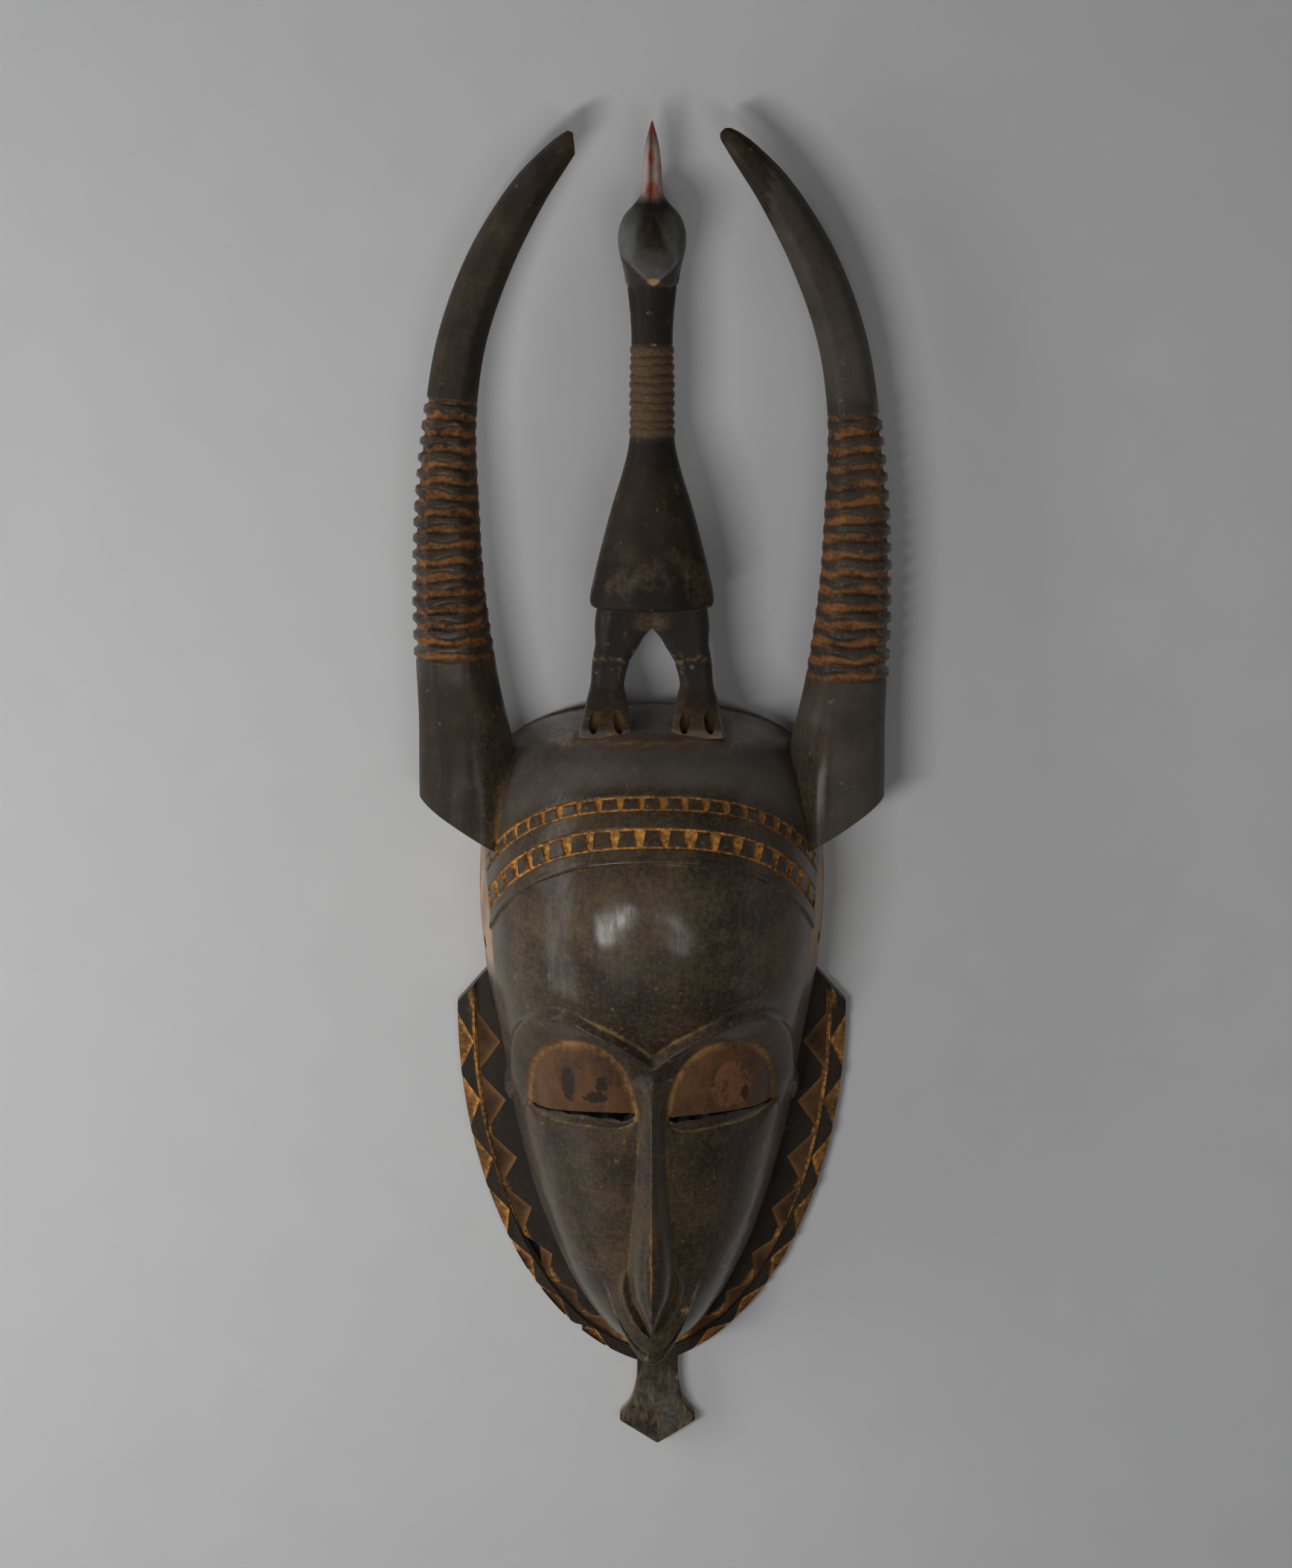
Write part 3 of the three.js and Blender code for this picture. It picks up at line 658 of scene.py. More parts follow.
def horn(side_name):
    span = RINGS[side_name]
    line = smooth_line(HORN)
    ways = np.linspace(0, 1, 4001)
    heights = line(ways)[:, 1]
    foot, tip = HORN[0][1], HORN[-1][1]
    rows = rows_along((foot, 16), (span[0] - 2, 170), (span[1] + 2, 36), (tip - 4, 0))
    rows = np.concatenate([rows[:-1], tip - 4 * (1 - np.linspace(0, 1, 7)) ** 1.6])

    def middle(y):
        way = np.interp(y, heights, ways)
        place = line(way)
        return np.stack([place[..., 0], place[..., 1], mix(HORN_HEIGHT[0], HORN_HEIGHT[1], way)], axis=-1)

    def spoke(y, turn):
        way = np.interp(y, heights, ways)
        half = line(way)[..., 2] * np.where(y > tip - 2, 1 - 0.5 * np.clip((y - tip + 2) / 2, 0, 1) ** 3, 1)
        ahead = line(np.minimum(way + 0.004, 1))[..., :2] - line(np.maximum(way - 0.004, 0))[..., :2]
        ahead = ahead / np.linalg.norm(ahead, axis=-1)[..., None]
        round_share = step(70, 40, y)
        form = mix(rounded_sides(turn, HORN_SIDES, 16), 1, 0.35 + 0.4 * round_share)
        wave = ring_wave(y, turn, span)
        swell = RING_RELIEF * (1.6 * wave - 1) * ring_strength(y, turn, span)
        length = form * half * 0.985 + swell
        thick = form * half * HORN_THICKNESS + swell
        return np.stack([np.sin(turn) * length * ahead[..., 1], -np.sin(turn) * length * ahead[..., 0],
                         np.cos(turn) * thick], axis=-1)

    bm = lofted(56, rows, middle, spoke)
    x, y = HORN_FOOT["corner"]
    slope = math.atan2(y - HORN_FOOT["inner"][1], x - HORN_FOOT["inner"][0])
    trimmed(bm, (x, y, 0), (math.sin(slope), -math.cos(slope), 0))
    if side_name == "left":
        for flat, outward in LEFT_TIP:
            trimmed(bm, flat, outward)
        bmesh.ops.scale(bm, vec=(-1, 1, 1), verts=bm.verts)
    bmesh.ops.recalc_face_normals(bm, faces=bm.faces)
    points = np.array([v.co for v in bm.verts])
    for vert, swell in zip(bm.verts, 0.25 * ripple(points, 26, 3)):
        vert.co.z += swell
    return as_object(facing_out(bm), side_name + "_horn", patina)


def trimmed(bm, place, outward):
    """Cuts off what lies beyond a plane and closes the cut."""
    everything = bm.verts[:] + bm.edges[:] + bm.faces[:]
    cut = bmesh.ops.bisect_plane(bm, geom=everything, plane_co=place, plane_no=outward, clear_outer=True)
    edges = [e for e in cut["geom_cut"] if isinstance(e, bmesh.types.BMEdge)]
    bmesh.ops.edgeloop_fill(bm, edges=edges)


# The bird

def stacked(stations, rows, columns, name, shape):
    """A loft of ovals through stations, its spokes changed by a shape of height and turn."""
    at = smooth_line([(half, y, thick) for half, y, thick, _ in stations])
    lift = [s[3] for s in stations]
    heights = [s[1] for s in stations]
    ways = np.linspace(0, 1, 4001)
    by_y = at(ways)

    def middle(y):
        return np.stack([0 * y, y, np.interp(y, heights, lift)], axis=-1)

    def spoke(y, turn):
        half = np.interp(y, by_y[:, 1], by_y[:, 0])
        thick = np.interp(y, by_y[:, 1], by_y[:, 2])
        scale = shape(y, turn)
        return np.stack([np.sin(turn) * half * scale, 0 * y, np.cos(turn) * thick * scale], axis=-1)

    return as_object(lofted(columns, rows, middle, spoke), name, patina)


def neck_wave(y, turn):
    rings = NECK_RINGS
    pitch = (rings["to"] - rings["from"]) / rings["count"]
    sway = 0.07 * np.sin(2 * turn + 0.21 * y) + 0.03 * np.sin(5 * turn - 0.5 * y)
    place = (y - rings["from"]) / pitch + 0.1 * np.sin(0.7 * y) + sway
    inside = step(rings["from"] - 0.5, rings["from"] + 0.5, y) * step(rings["to"] + 0.5, rings["to"] - 0.5, y)
    return place - np.floor(place), inside


def bird_body():
    def shape(y, turn):
        wings = step(160, 128, y)
        boxed = rounded_sides(turn, (0, 48, 90, 132, 180, 228, 270, 312), 22)
        panel = bell(np.abs(np.sin(turn)) - 0.74, 0.12) * (np.cos(turn) > 0)
        place, inside = neck_wave(y, turn)
        ring = np.sin(math.pi * place) ** 0.6
        wobble = 0.12 * np.sin(2 * turn + 0.9 * y) + 0.06 * np.sin(7 * turn + 1.9 * y)
        relief = NECK_RINGS["relief"] / 9.2 * inside * (1.8 * ring - 1 + wobble)
        return mix(1, boxed, 0.55 * wings) * (1 + 0.035 * panel * wings) + relief

    rows = rows_along((91.2, 8), (97, 36), (164, 80), (205, 9), (233, 0))
    return stacked(BIRD, rows, 56, "bird_body", shape)


def bird_head():
    def shape(y, turn):
        across, front = np.abs(np.sin(turn)), np.cos(turn) > 0
        beak = step(259, 266, y)
        channel = bell(across, 0.34) * (0.34 * beak + 0.05 * (1 - beak) * step(262, 250, y))
        brow = bell(across - 0.62, 0.1) * step(236, 246, y) * (1 - beak)
        away = across * 12.2 - 2.6 - 6.2 * np.clip((y - 229.5) / 8, 0, 1) ** 0.6
        tongue = bell(away, 0.8) * step(244, 238, y)
        beside = step(0, 1.5, away) * step(240, 233, y)
        vee = bell(across * 14 - (260 - y) * 0.42, 1.6) * step(262, 257, y) * step(240, 250, y)
        return 1 - front * (channel + 0.03 * brow + 0.1 * tongue + 0.08 * beside + 0.09 * vee)

    rows = rows_along((228.6, 8), (232, 46), (268, 23), (296.5, 0))
    return stacked(BIRD_HEAD, rows, 90, "bird_head", shape)


def leg():
    at = smooth_line([station[:3] for station in LEG])
    ways = np.linspace(0, 1, 50)
    knots = np.linspace(0, 1, len(LEG))

    def lifted(way, column):
        return np.interp(way, knots, [station[column] for station in LEG])

    def middle(way):
        place = at(way)
        return np.stack([place[..., 0], place[..., 1], lifted(way, 3)], axis=-1)

    def spoke(way, turn):
        half, y = at(way)[..., 2], at(way)[..., 1]
        boxed = rounded_sides(turn, (0, 90, 180, 270), 7)
        knee = 0.35 * bell(y - 68.5, 0.6)
        length = boxed * half * mix(0.93, 1, step(60, 45, y)) - knee
        thick = boxed * lifted(way, 4) - knee
        return np.stack([np.sin(turn) * length, 0 * way, np.cos(turn) * thick], axis=-1)

    return lofted(32, ways, middle, spoke)


def legs():
    made = []
    for sign in (1, -1):
        form = leg()
        bmesh.ops.scale(form, vec=(sign, 1, 1), verts=form.verts)
        made.append(as_object(facing_out(form), "leg", patina))
    return made


def toe_slots():
    """The sunk ovals between the three toes of each foot."""
    slots = []
    for x in (-19.4, 19.4):
        for sign in (-1, 1):
            bm = bmesh.new()
            size = Matrix.Diagonal((TOE_SLOT["half"], TOE_SLOT["length"], 4, 1))
            turn = Matrix.Rotation(sign * TOE_SLOT["lean"], 4, "Z") @ Matrix.Rotation(-0.5, 4, "X")
            place = Matrix.Translation((x + sign * TOE_SLOT["spread"], TOE_SLOT["y"], TOE_SLOT["z"]))
            bmesh.ops.create_uvsphere(bm, u_segments=20, v_segments=12, radius=1, matrix=place @ turn @ size)
            slots.append(as_object(bm, "toe_slot", brown_cut))
    return gathered(slots)


# The collar and the beard

def collar_edge(share, inset=0.0):
    """A point of the collar's edge, 0 at the right corner, 0.5 at the bottom and 1 at the left corner."""
    way = 1 - np.abs(2 * share - 1)
    sign = np.where(share <= 0.5, 1, -1)
    corner, (side, low) = COLLAR["corner"], COLLAR_STEER
    steers = [(corner[0] - inset, corner[1]), (side[0] - inset, side[1]), (low[0] - 0.8 * inset, low[1]),
              (0, COLLAR["bottom"] + inset)]
    weights = [(1 - way) ** 3, 3 * way * (1 - way) ** 2, 3 * way ** 2 * (1 - way), way ** 3]
    x, y = (sum(weight * steer[i] for weight, steer in zip(weights, steers)) for i in (0, 1))
    return np.stack([x * sign, y], axis=-1)


def edge_lengths():
    """Shares of the collar's edge, and how far along it each of them lies."""
    shares = np.linspace(0, 1, 2001)
    return shares, lengths_along(collar_edge(shares))


def even_shares(count):
    """Shares of the collar's edge that are evenly spaced along it."""
    shares, lengths = edge_lengths()
    return np.interp(np.linspace(0, lengths[-1], count), lengths, shares)


def collar_inset(x, y):
    """How far inside the collar's edge a point lies."""
    edge = collar_edge(np.linspace(0, 1, 400))
    away = np.full(np.shape(x), 1e9)
    for ex, ey in edge:
        away = np.minimum(away, np.hypot(x - ex, y - ey))
    return away


def collar():
    """The collar is a flat band with a narrow ridge; its section is drawn from the edge inwards."""
    top, ridge, half = COLLAR["thickness"], RIDGE["inset"], RIDGE["half"]
    crest = top - 0.2 + RIDGE["rise"]
    section = [
        (0, 0), (0, 3.5), (0, top - 1.8), (0.3, top - 1.2), (1.1, top - 0.9), (2.5, top - 0.6),
        (4, top - 0.4), (ridge - half - 0.7, top - 0.3), (ridge - half, top - 0.1), (ridge - 0.4, crest),
        (ridge + 0.3, crest), (ridge + half, top - 0.3), (ridge + half + 0.8, top - 0.6), (10, top - 0.4),
        (12, top - 0.2), (14.5, top), (17, top), (20, top), (26, top + 0.5), (26, 0), (13, 0),
    ]
    inset, height = (np.array(column) for column in zip(*section))
    rings = np.linspace(0, 1, 230)
    shares = even_shares(len(rings))

    def place(way, inward, up):
        share = np.interp(way, rings, shares)
        edge = collar_edge(share)
        inside = edge + (collar_edge(share, 1.0) - edge) * inward[..., None]
        # The ends slant up to the face
        lift = np.where(np.minimum(share, 1 - share) < 0.004, inward * 16 / 14, 0)
        return np.stack([inside[..., 0], inside[..., 1] + lift, up], axis=-1)

    def middle(way):
        return place(way, np.full(way.shape, 13.0), np.full(way.shape, top / 2))

    def spoke(way, turn):
        number = np.rint(turn / (2 * math.pi) * len(section)).astype(int) % len(section)
        return place(way, inset[number], height[number]) - middle(way)

    return as_object(lofted(len(section), rings, middle, spoke), "collar", patina)


def collar_triangles():
    """The triangles outside and inside the ridge, in plan: the two corners on the base, then the point."""
    outer, inner = [], []
    shares, lengths = edge_lengths()
    ridge_out, ridge_in = RIDGE["inset"] - RIDGE["half"], RIDGE["inset"] + RIDGE["half"]
    for side in (0, 1):
        for number, middle in enumerate(TRIANGLES):
            half = TRIANGLE["base"] / 2 * (1 - 0.02 * number) + 0.5 * math.sin(5 * number + side)
            ends = [middle - half, middle + half, middle + 0.6 * math.sin(3 * number + side)]
            if side:
                ends = [lengths[-1] - end for end in ends]
            a, b, tip = np.interp(ends, lengths, shares)
            outer.append([collar_edge(a, -0.6), collar_edge(b, -0.6), collar_edge(tip, ridge_out + 0.3)])
            inner.append([collar_edge(a, ridge_in), collar_edge(b, ridge_in),
                          collar_edge(tip, TRIANGLE["end"])])
    return outer, inner


def wedge(corners, floor, high, name, material):
    """A three-sided cutter: its corners in plan, with the height of the floor at each of them."""
    bm = bmesh.new()
    bmesh.ops.create_cone(bm, cap_ends=True, segments=3, radius1=1, radius2=1, depth=1)
    ranked = sorted(bm.verts, key=lambda v: (round(v.co.z, 3), math.atan2(v.co.y, v.co.x)))
    for order, vert in enumerate(ranked):
        x, y = corners[order % 3]
        vert.co = (x, y, floor[order % 3] if order < 3 else high)
    bottom = [face for face in bm.faces if all(vert in ranked[:3] for vert in face.verts)]
    edges = {edge for face in bottom for edge in face.edges}
    bmesh.ops.subdivide_edges(bm, edges=list(edges), cuts=10, use_grid_fill=True)
    return as_object(facing_out(bm), name, material)


def collar_cuts():
    """The triangles outside the ridge slope down to the edge, and those inside it are sunk at their base."""
    top = COLLAR["thickness"]
    low = top - TRIANGLE["relief"]
    outer, inner = collar_triangles()
    outer_floor, inner_floor = (low - 1.6, low - 1.6, top - 0.9), (low, low, top - 0.7)
    outer = [wedge(corners, outer_floor, top + 4, "outer_cut", gold_cut) for corners in outer]
    inner = [wedge(corners, inner_floor, top + 4, "inner_cut", brown_cut) for corners in inner]
    breaks = [wedge([collar_edge(*corner) for corner in corners], floor, top + 4, "break", slit_cut)
              for corners, floor in (SPLIT, NOTCH)]
    return [gathered(outer), gathered(inner), *breaks]


def beard():
    x, neck, half, wide, tip = (BEARD[key] for key in ("x", "neck", "half", "wide", "tip"))
    flare = smooth_line([(neck - 0.2, COLLAR["bottom"] - 3, 0), (neck + 0.7, wide + 14, 0),
                         (neck + 3.6, wide + 6, 0), (half, wide + 1.2, 0)])(np.linspace(0, 1, 12))[:, :2]
    side = [(neck, COLLAR["bottom"] + 8), *flare, (half, wide - 1.6)]
    points = [(x + px, py) for px, py in side] + [(x, tip)] + [(x - px, py) for px, py in reversed(side)]
    bm = bmesh.new()
    face = bm.faces.new([bm.verts.new((px, py, 0)) for px, py in points])
    made = bmesh.ops.extrude_face_region(bm, geom=[face])
    top = [v for v in made["geom"] if isinstance(v, bmesh.types.BMVert)]
    bmesh.ops.translate(bm, verts=top, vec=(0, 0, BEARD["thickness"]))
    bmesh.ops.recalc_face_normals(bm, faces=bm.faces)
    heights = {edge: [vert.co.z for vert in edge.verts] for edge in bm.edges}
    rim = [edge for edge, (first, second) in heights.items() if min(first, second) > 1]
    corners = [edge for edge, (first, second) in heights.items()
               if abs(first - second) > 1 and edge.verts[0].co.y < wide + 2]
    bmesh.ops.bevel(bm, geom=rim + corners, offset=0.9, offset_type="OFFSET", affect="EDGES", segments=3,
                    profile=0.5, material=-1)
    return as_object(bm, "beard", patina)


# Shader expressions

class Socket:
    """An output socket that Python's operators turn into Math nodes."""

    def __init__(self, shader, link):
        self.shader, self.link = shader, link

    def maths(self, operation, *values):
        return self.shader.node("ShaderNodeMath", {"operation": operation}, dict(enumerate(values)))

    def __add__(self, other):
        return self.maths("ADD", self, other)

    def __radd__(self, other):
        return self.maths("ADD", other, self)

    def __sub__(self, other):
        return self.maths("SUBTRACT", self, other)

    def __rsub__(self, other):
        return self.maths("SUBTRACT", other, self)

    def __mul__(self, other):
        return self.maths("MULTIPLY", self, other)

    def __rmul__(self, other):
        return self.maths("MULTIPLY", other, self)

    def __truediv__(self, other):
        return self.maths("DIVIDE", self, other)

    def clamped(self, low=0.0, high=1.0):
        return self.maths("MINIMUM", self.maths("MAXIMUM", self, low), high)

    def above(self, low, high):
        """0 below low and 1 above high."""
        return ((self - low) / (high - low)).clamped()


class Shader:
    """Builds one material."""

    def __init__(self, name):
        self.material = bpy.data.materials.new(name)
        self.material.use_nodes = True
        self.tree = self.material.node_tree
        self.tree.nodes.clear()
        self.places = self.node("ShaderNodeTexCoord", output="Object")

    def node(self, kind, settings=None, inputs=None, output=0):
        made = self.tree.nodes.new(kind)
        for key, value in (settings or {}).items():
            setattr(made, key, value)
        for key, value in (inputs or {}).items():
            if isinstance(value, Socket):
                self.tree.links.new(value.link, made.inputs[key])
            else:
                made.inputs[key].default_value = value
        return Socket(self, made.outputs[output])

    def finished(self, surface):
        """The material with this shader as its surface."""
        end = self.tree.nodes.new("ShaderNodeOutputMaterial")
        self.tree.links.new(surface.link, end.inputs["Surface"])
        return self.material

    def noise(self, size, detail=4.0, rough=0.55, stretch=(1, 1, 1), seed=0.0):
        """Noise with features about size (in millimetres) across, drawn out by stretch."""
        scale = tuple(1 / (size * MM * s) for s in stretch)
        place = self.node("ShaderNodeMapping", inputs={"Vector": self.places, "Scale": scale,
                                                       "Location": (seed, seed * 1.7, seed * 2.3)})
        return self.node("ShaderNodeTexNoise", inputs={"Vector": place, "Scale": 1.0, "Detail": detail,
                                                       "Roughness": rough})

    def attribute(self, name):
        return self.node("ShaderNodeAttribute", {"attribute_name": name}, output="Fac")

    def blend(self, low, high, share):
        """A colour between two colours."""
        return self.node("ShaderNodeMix", {"data_type": "RGBA"},
                         {"Factor": share, 6: colour(low), 7: colour(high)}, output=2)


def colour(value):
    return value if isinstance(value, Socket) else (*value, 1.0)


# Finishes, and painted light and shade, as linear colours
BLACK_BROWN = (0.0115, 0.008, 0.005)
UMBER = (0.05, 0.031, 0.0145)
SOOT = (0.008, 0.006, 0.0045)
GREY_FILM = (0.05, 0.046, 0.039)
# Grey painted sheen for the crown and the horns
SHEEN_GREY = (0.075, 0.067, 0.054)
KHAKI = (0.11, 0.082, 0.045)
OCHRE = (0.26, 0.14, 0.04)
SEAM_OCHRE = (0.19, 0.112, 0.038)
GOLD = (0.6, 0.27, 0.045)
DULL_GOLD = (0.2, 0.085, 0.022)
RUST = (0.19, 0.072, 0.019)
STAIN_DARK = (0.024, 0.013, 0.007)
STAIN_LIGHT = (0.18, 0.086, 0.026)
RED_BROWN = (0.09, 0.037, 0.0135)
RED_WORN = (0.17, 0.07, 0.028)
RAW_WOOD = (0.33, 0.235, 0.165)
HOLLOW_WOOD = (0.14, 0.085, 0.05)
BEARD_GREY = (0.085, 0.076, 0.06)
# Slate grey painted sheen for the sides of the bird's head
SHEEN_SLATE = (0.084, 0.086, 0.08)
NECK_BROWN = (0.082, 0.05, 0.026)
PALE_WOOD = (0.3, 0.24, 0.2)
PLATEAU_BROWN = (0.075, 0.045, 0.03)
BEAK = (0.3, 0.22, 0.2)
BEAK_RED = (0.16, 0.03, 0.012)
# Painted shade: near black for the walls and floors of the slits, rim holes and collar breaks
PAINTED_SHADE_BLACK = (0.002, 0.002, 0.002)

# Marks of wear: middle, half width and half length, and the crack's x at some heights below the middle
BARE_LID = [(-36, -109, 2.8, 8), (-21, -107, 3, 3.4), (-24, -113.5, 5, 2.6), (40, -114, 2, 3)]
WORN_LID = [(34, -109, 9, 11)]
WORN_SPOTS = [(0.8, 231, 2.4, 1.4), (0.6, 204.4, 1.2, 0.5), (14.6, -214, 1.3, 1.7)]
BARE_COLLAR = [(-41, -233, 13, 13)]
BEARD_PIT = [(2, -289.5, 2.4, 1.5)]
RED_MARKS = [(0, 294, 2, 4), (-0.3, 281.5, 1.3, 3.4), (0, 267.5, 2.8, 4)]
CRACK = ((144, 158, 171, 186, 198), (49.6, 46.5, 44.6, 38, 29.6))

# The marks on the carving that say where each finish, and each painted light and shade, goes
MARKS = (
    "bare_edge", "bare_lid", "beak", "beak_red", "beard", "bird", "bird_head", "painted_shade", "browned", "crest",
    "crevice", "dark", "dust", "painted_sheen", "gilt", "gloss", "hem", "inside", "lid", "lid_rim", "matt", "neck",
    "plateau", "raw", "ridge", "rims", "rust", "stained", "upper", "worn_lid", "worn_line",
)


def patinated_wood():
    s = Shader("patinated_wood")
    grain = s.noise(0.9, 3, 0.6, (1, 26, 1.4), 3)
    fine = s.noise(0.7, 2, 0.6, seed=12)
    cloud = s.noise(42, 4, 0.6, seed=1)
    patch = s.noise(16, 5, 0.62, seed=4)
    speck = s.noise(2.2, 4, 0.65, seed=7)
    fleck = s.noise(5, 3, 0.5, seed=9)
    streak = s.noise(3.4, 4, 0.65, (1, 4, 1), 21)
    marks = {name: s.attribute(name) for name in MARKS}
    brown = (cloud.above(0.36, 0.62) * 0.5 + grain.above(0.45, 0.75) * 0.35 + speck.above(0.42, 0.66) * 0.55
             + fine.above(0.4, 0.7) * 0.45 + patch.above(0.42, 0.58) * 0.2 - 0.32).clamped()
    dust = (marks["dust"] * patch.above(0.36, 0.62) * (0.4 + speck.above(0.35, 0.65))).clamped()
    hem = marks["hem"] * patch.above(0.48, 0.6) * (0.1 + 0.7 * speck.above(0.4, 0.6))
    rings = marks["rust"] * (speck.above(0.38, 0.62) * 0.6 + patch.above(0.42, 0.6) * 0.5)
    lid = marks["lid"] * (0.15 + patch.above(0.36, 0.6) * 0.45 + streak.above(0.4, 0.6) * 0.25)
    rim = marks["lid_rim"] * (patch.above(0.4, 0.6) * 0.5 + speck.above(0.4, 0.65) * 0.5)
    ragged = speck * 1.3 + fine * 0.5 - 0.9
    worn = (marks["worn_lid"] * (0.4 + streak.above(0.38, 0.6)) + ragged).above(0.45, 0.8)
    seam = marks["crevice"] * (0.3 + 0.9 * patch.above(0.4, 0.6)) * (0.45 + speck.above(0.35, 0.65))
    beard = marks["beard"]
    stain = s.blend(STAIN_DARK, STAIN_LIGHT, (patch.above(0.35, 0.7) * 0.5 + marks["rims"] * 0.6).clamped())
    bright = speck.above(0.45, 0.66) * 0.7 + patch.above(0.47, 0.6) * 0.3
    gilt = marks["gilt"] * (0.2 + 0.7 * speck.above(0.32, 0.55) + 0.3 * patch.above(0.4, 0.55))
    raw = marks["raw"] * (0.4 + grain.above(0.3, 0.7) * 0.3 + patch.above(0.38, 0.6) * 0.3)
    # Each finish lies over the ones before it
    finishes = [
        (GREY_FILM, patch.above(0.5, 0.75) * 0.16),
        (BLACK_BROWN, marks["upper"] * (0.3 + 0.4 * patch.above(0.6, 0.4))),
        (SOOT, marks["bird"] * (0.45 + 0.5 * cloud.above(0.6, 0.4))),
        (OCHRE, marks["bird"] * streak.above(0.58, 0.75) * patch.above(0.5, 0.6) * 0.35),
        (SOOT, marks["hem"] * patch.above(0.55, 0.45)),
        (UMBER, hem.clamped()),
        (KHAKI, dust * 0.5),
        # Painted sheen: grey on the crown and on the horns, less on their rings, far more on the right horn
        # than the left
        (SHEEN_GREY, marks["painted_sheen"] * (0.35 + 0.5 * cloud.above(0.35, 0.6))),
        (KHAKI, fleck.above(0.68, 0.74) * 0.6),
        # Painted sheen on the sides of the bird's head, left out inside the tongue fold as painted shade
        (SHEEN_SLATE, marks["bird_head"] * (0.5 + 0.4 * patch.above(0.4, 0.6))),
        (NECK_BROWN, marks["neck"] * (0.35 + 0.5 * fine.above(0.35, 0.6))),
        (RUST, rings.clamped() * 0.85),
        (RED_BROWN, lid),
        (OCHRE, rim * 0.55),
        (RED_WORN, worn * 0.45),
        (BLACK_BROWN, (marks["bare_lid"] + ragged).above(0.42, 0.56) * 0.88),
        (SEAM_OCHRE, seam.clamped() * 0.66),
        (UMBER, marks["ridge"] * patch.above(0.42, 0.6) * 0.5),
        (SOOT, marks["dark"] * (0.45 + patch.above(0.4, 0.6) * 0.45)),
        (BEARD_GREY, beard * patch.above(0.42, 0.58) * (0.3 + 0.6 * speck.above(0.35, 0.65))),
        (KHAKI, beard * streak.above(0.46, 0.6) * patch.above(0.56, 0.44) * 0.8),
        (PLATEAU_BROWN, marks["plateau"] * (0.5 + patch.above(0.35, 0.6) * 0.4)),
        (PALE_WOOD, marks["bare_edge"] * (speck.above(0.35, 0.6) * 0.6 + 0.15)),
        (RUST, marks["crest"] * (0.5 + speck.above(0.35, 0.6) * 0.5)),
        (stain, marks["stained"]),
        (RUST, (marks["browned"] * 2).clamped()),
        (s.blend(DULL_GOLD, GOLD, bright.clamped()), gilt.clamped() * 0.9),
        (OCHRE, (marks["worn_line"] * (speck.above(0.4, 0.55) + 0.2)).clamped()),
        # The beak's colour, and a painted highlight line along the fold of the bird's head
        (BEAK, marks["beak"] * (0.35 + 0.6 * patch.above(0.35, 0.6))),
        (BEAK_RED, marks["beak_red"] * (0.5 + 0.5 * speck.above(0.4, 0.6))),
        (RAW_WOOD, raw.clamped()),
        (s.blend(HOLLOW_WOOD, UMBER, patch.above(0.35, 0.7)), marks["inside"]),
        # Painted shade: the cut walls and floors of the slits, rim holes and collar breaks made near black
        (PAINTED_SHADE_BLACK, marks["painted_shade"]),
    ]
    wood = s.blend(BLACK_BROWN, UMBER, brown)
    for finish, share in finishes:
        wood = s.blend(wood, finish, share)
    dull = (marks["gilt"] + marks["rust"] + marks["raw"] + marks["inside"] + marks["stained"] * 0.5
            + marks["crevice"] + dust * 0.5).clamped()
    rough = 0.56 + 0.12 * cloud.above(0.3, 0.7) + 0.1 * speck.above(0.4, 0.7) + 0.2 * dull
    rough = (rough + 0.1 * marks["matt"]).clamped(0.2, 0.95)
    satin = (1 - dull) * (1 - marks["dark"] * 0.7) * (1 - marks["matt"] * 0.8) * (1 - 0.5 * marks["ridge"])
    # The patina is shiniest where it is seen at a slant, and on the forehead, where it was rubbed
    facing = s.node("ShaderNodeLayerWeight", inputs={"Blend": 0.5}, output="Facing")
    rubbed = marks["gloss"] * (0.5 + 1.1 * streak.above(0.42, 0.6))
    polish = 0.05 + 0.05 * cloud.above(0.7, 0.3) + 0.18 * rubbed + 0.65 * facing.above(0.4, 0.7)
    height = grain * 0.3 + speck * 0.4 + patch * 0.4 + fine * 0.15
    bump = s.node("ShaderNodeBump", inputs={"Height": height, "Strength": 0.4, "Distance": 0.6 * MM})
    surface = s.node("ShaderNodeBsdfPrincipled", inputs={
        "Base Color": wood, "Roughness": rough, "Normal": bump,
        "Coat Weight": (satin * polish).clamped(), "Coat Roughness": 0.2, "Specular IOR Level": 0.14,
        "Sheen Weight": 0.07, "Sheen Roughness": 0.3})
    return s.finished(surface)


def floor_paint():
    s = Shader("floor_paint")
    fine = s.noise(30, 3, 0.5)
    tone = s.blend((0.38, 0.38, 0.38), (0.405, 0.405, 0.405), fine)
    surface = s.node("ShaderNodeBsdfPrincipled", inputs={"Base Color": tone, "Roughness": 0.85})
    return s.finished(surface)


# Masks for the finish, worked out on the finished mesh

def mesh_arrays(mesh):
    places = np.empty(len(mesh.vertices) * 3)
    mesh.vertices.foreach_get("co", places)
    normals = np.empty(len(mesh.vertices) * 3)
    mesh.vertices.foreach_get("normal", normals)
    edges = np.empty(len(mesh.edges) * 2, int)
    mesh.edges.foreach_get("vertices", edges)
    return places.reshape(-1, 3), normals.reshape(-1, 3), edges.reshape(-1, 2)


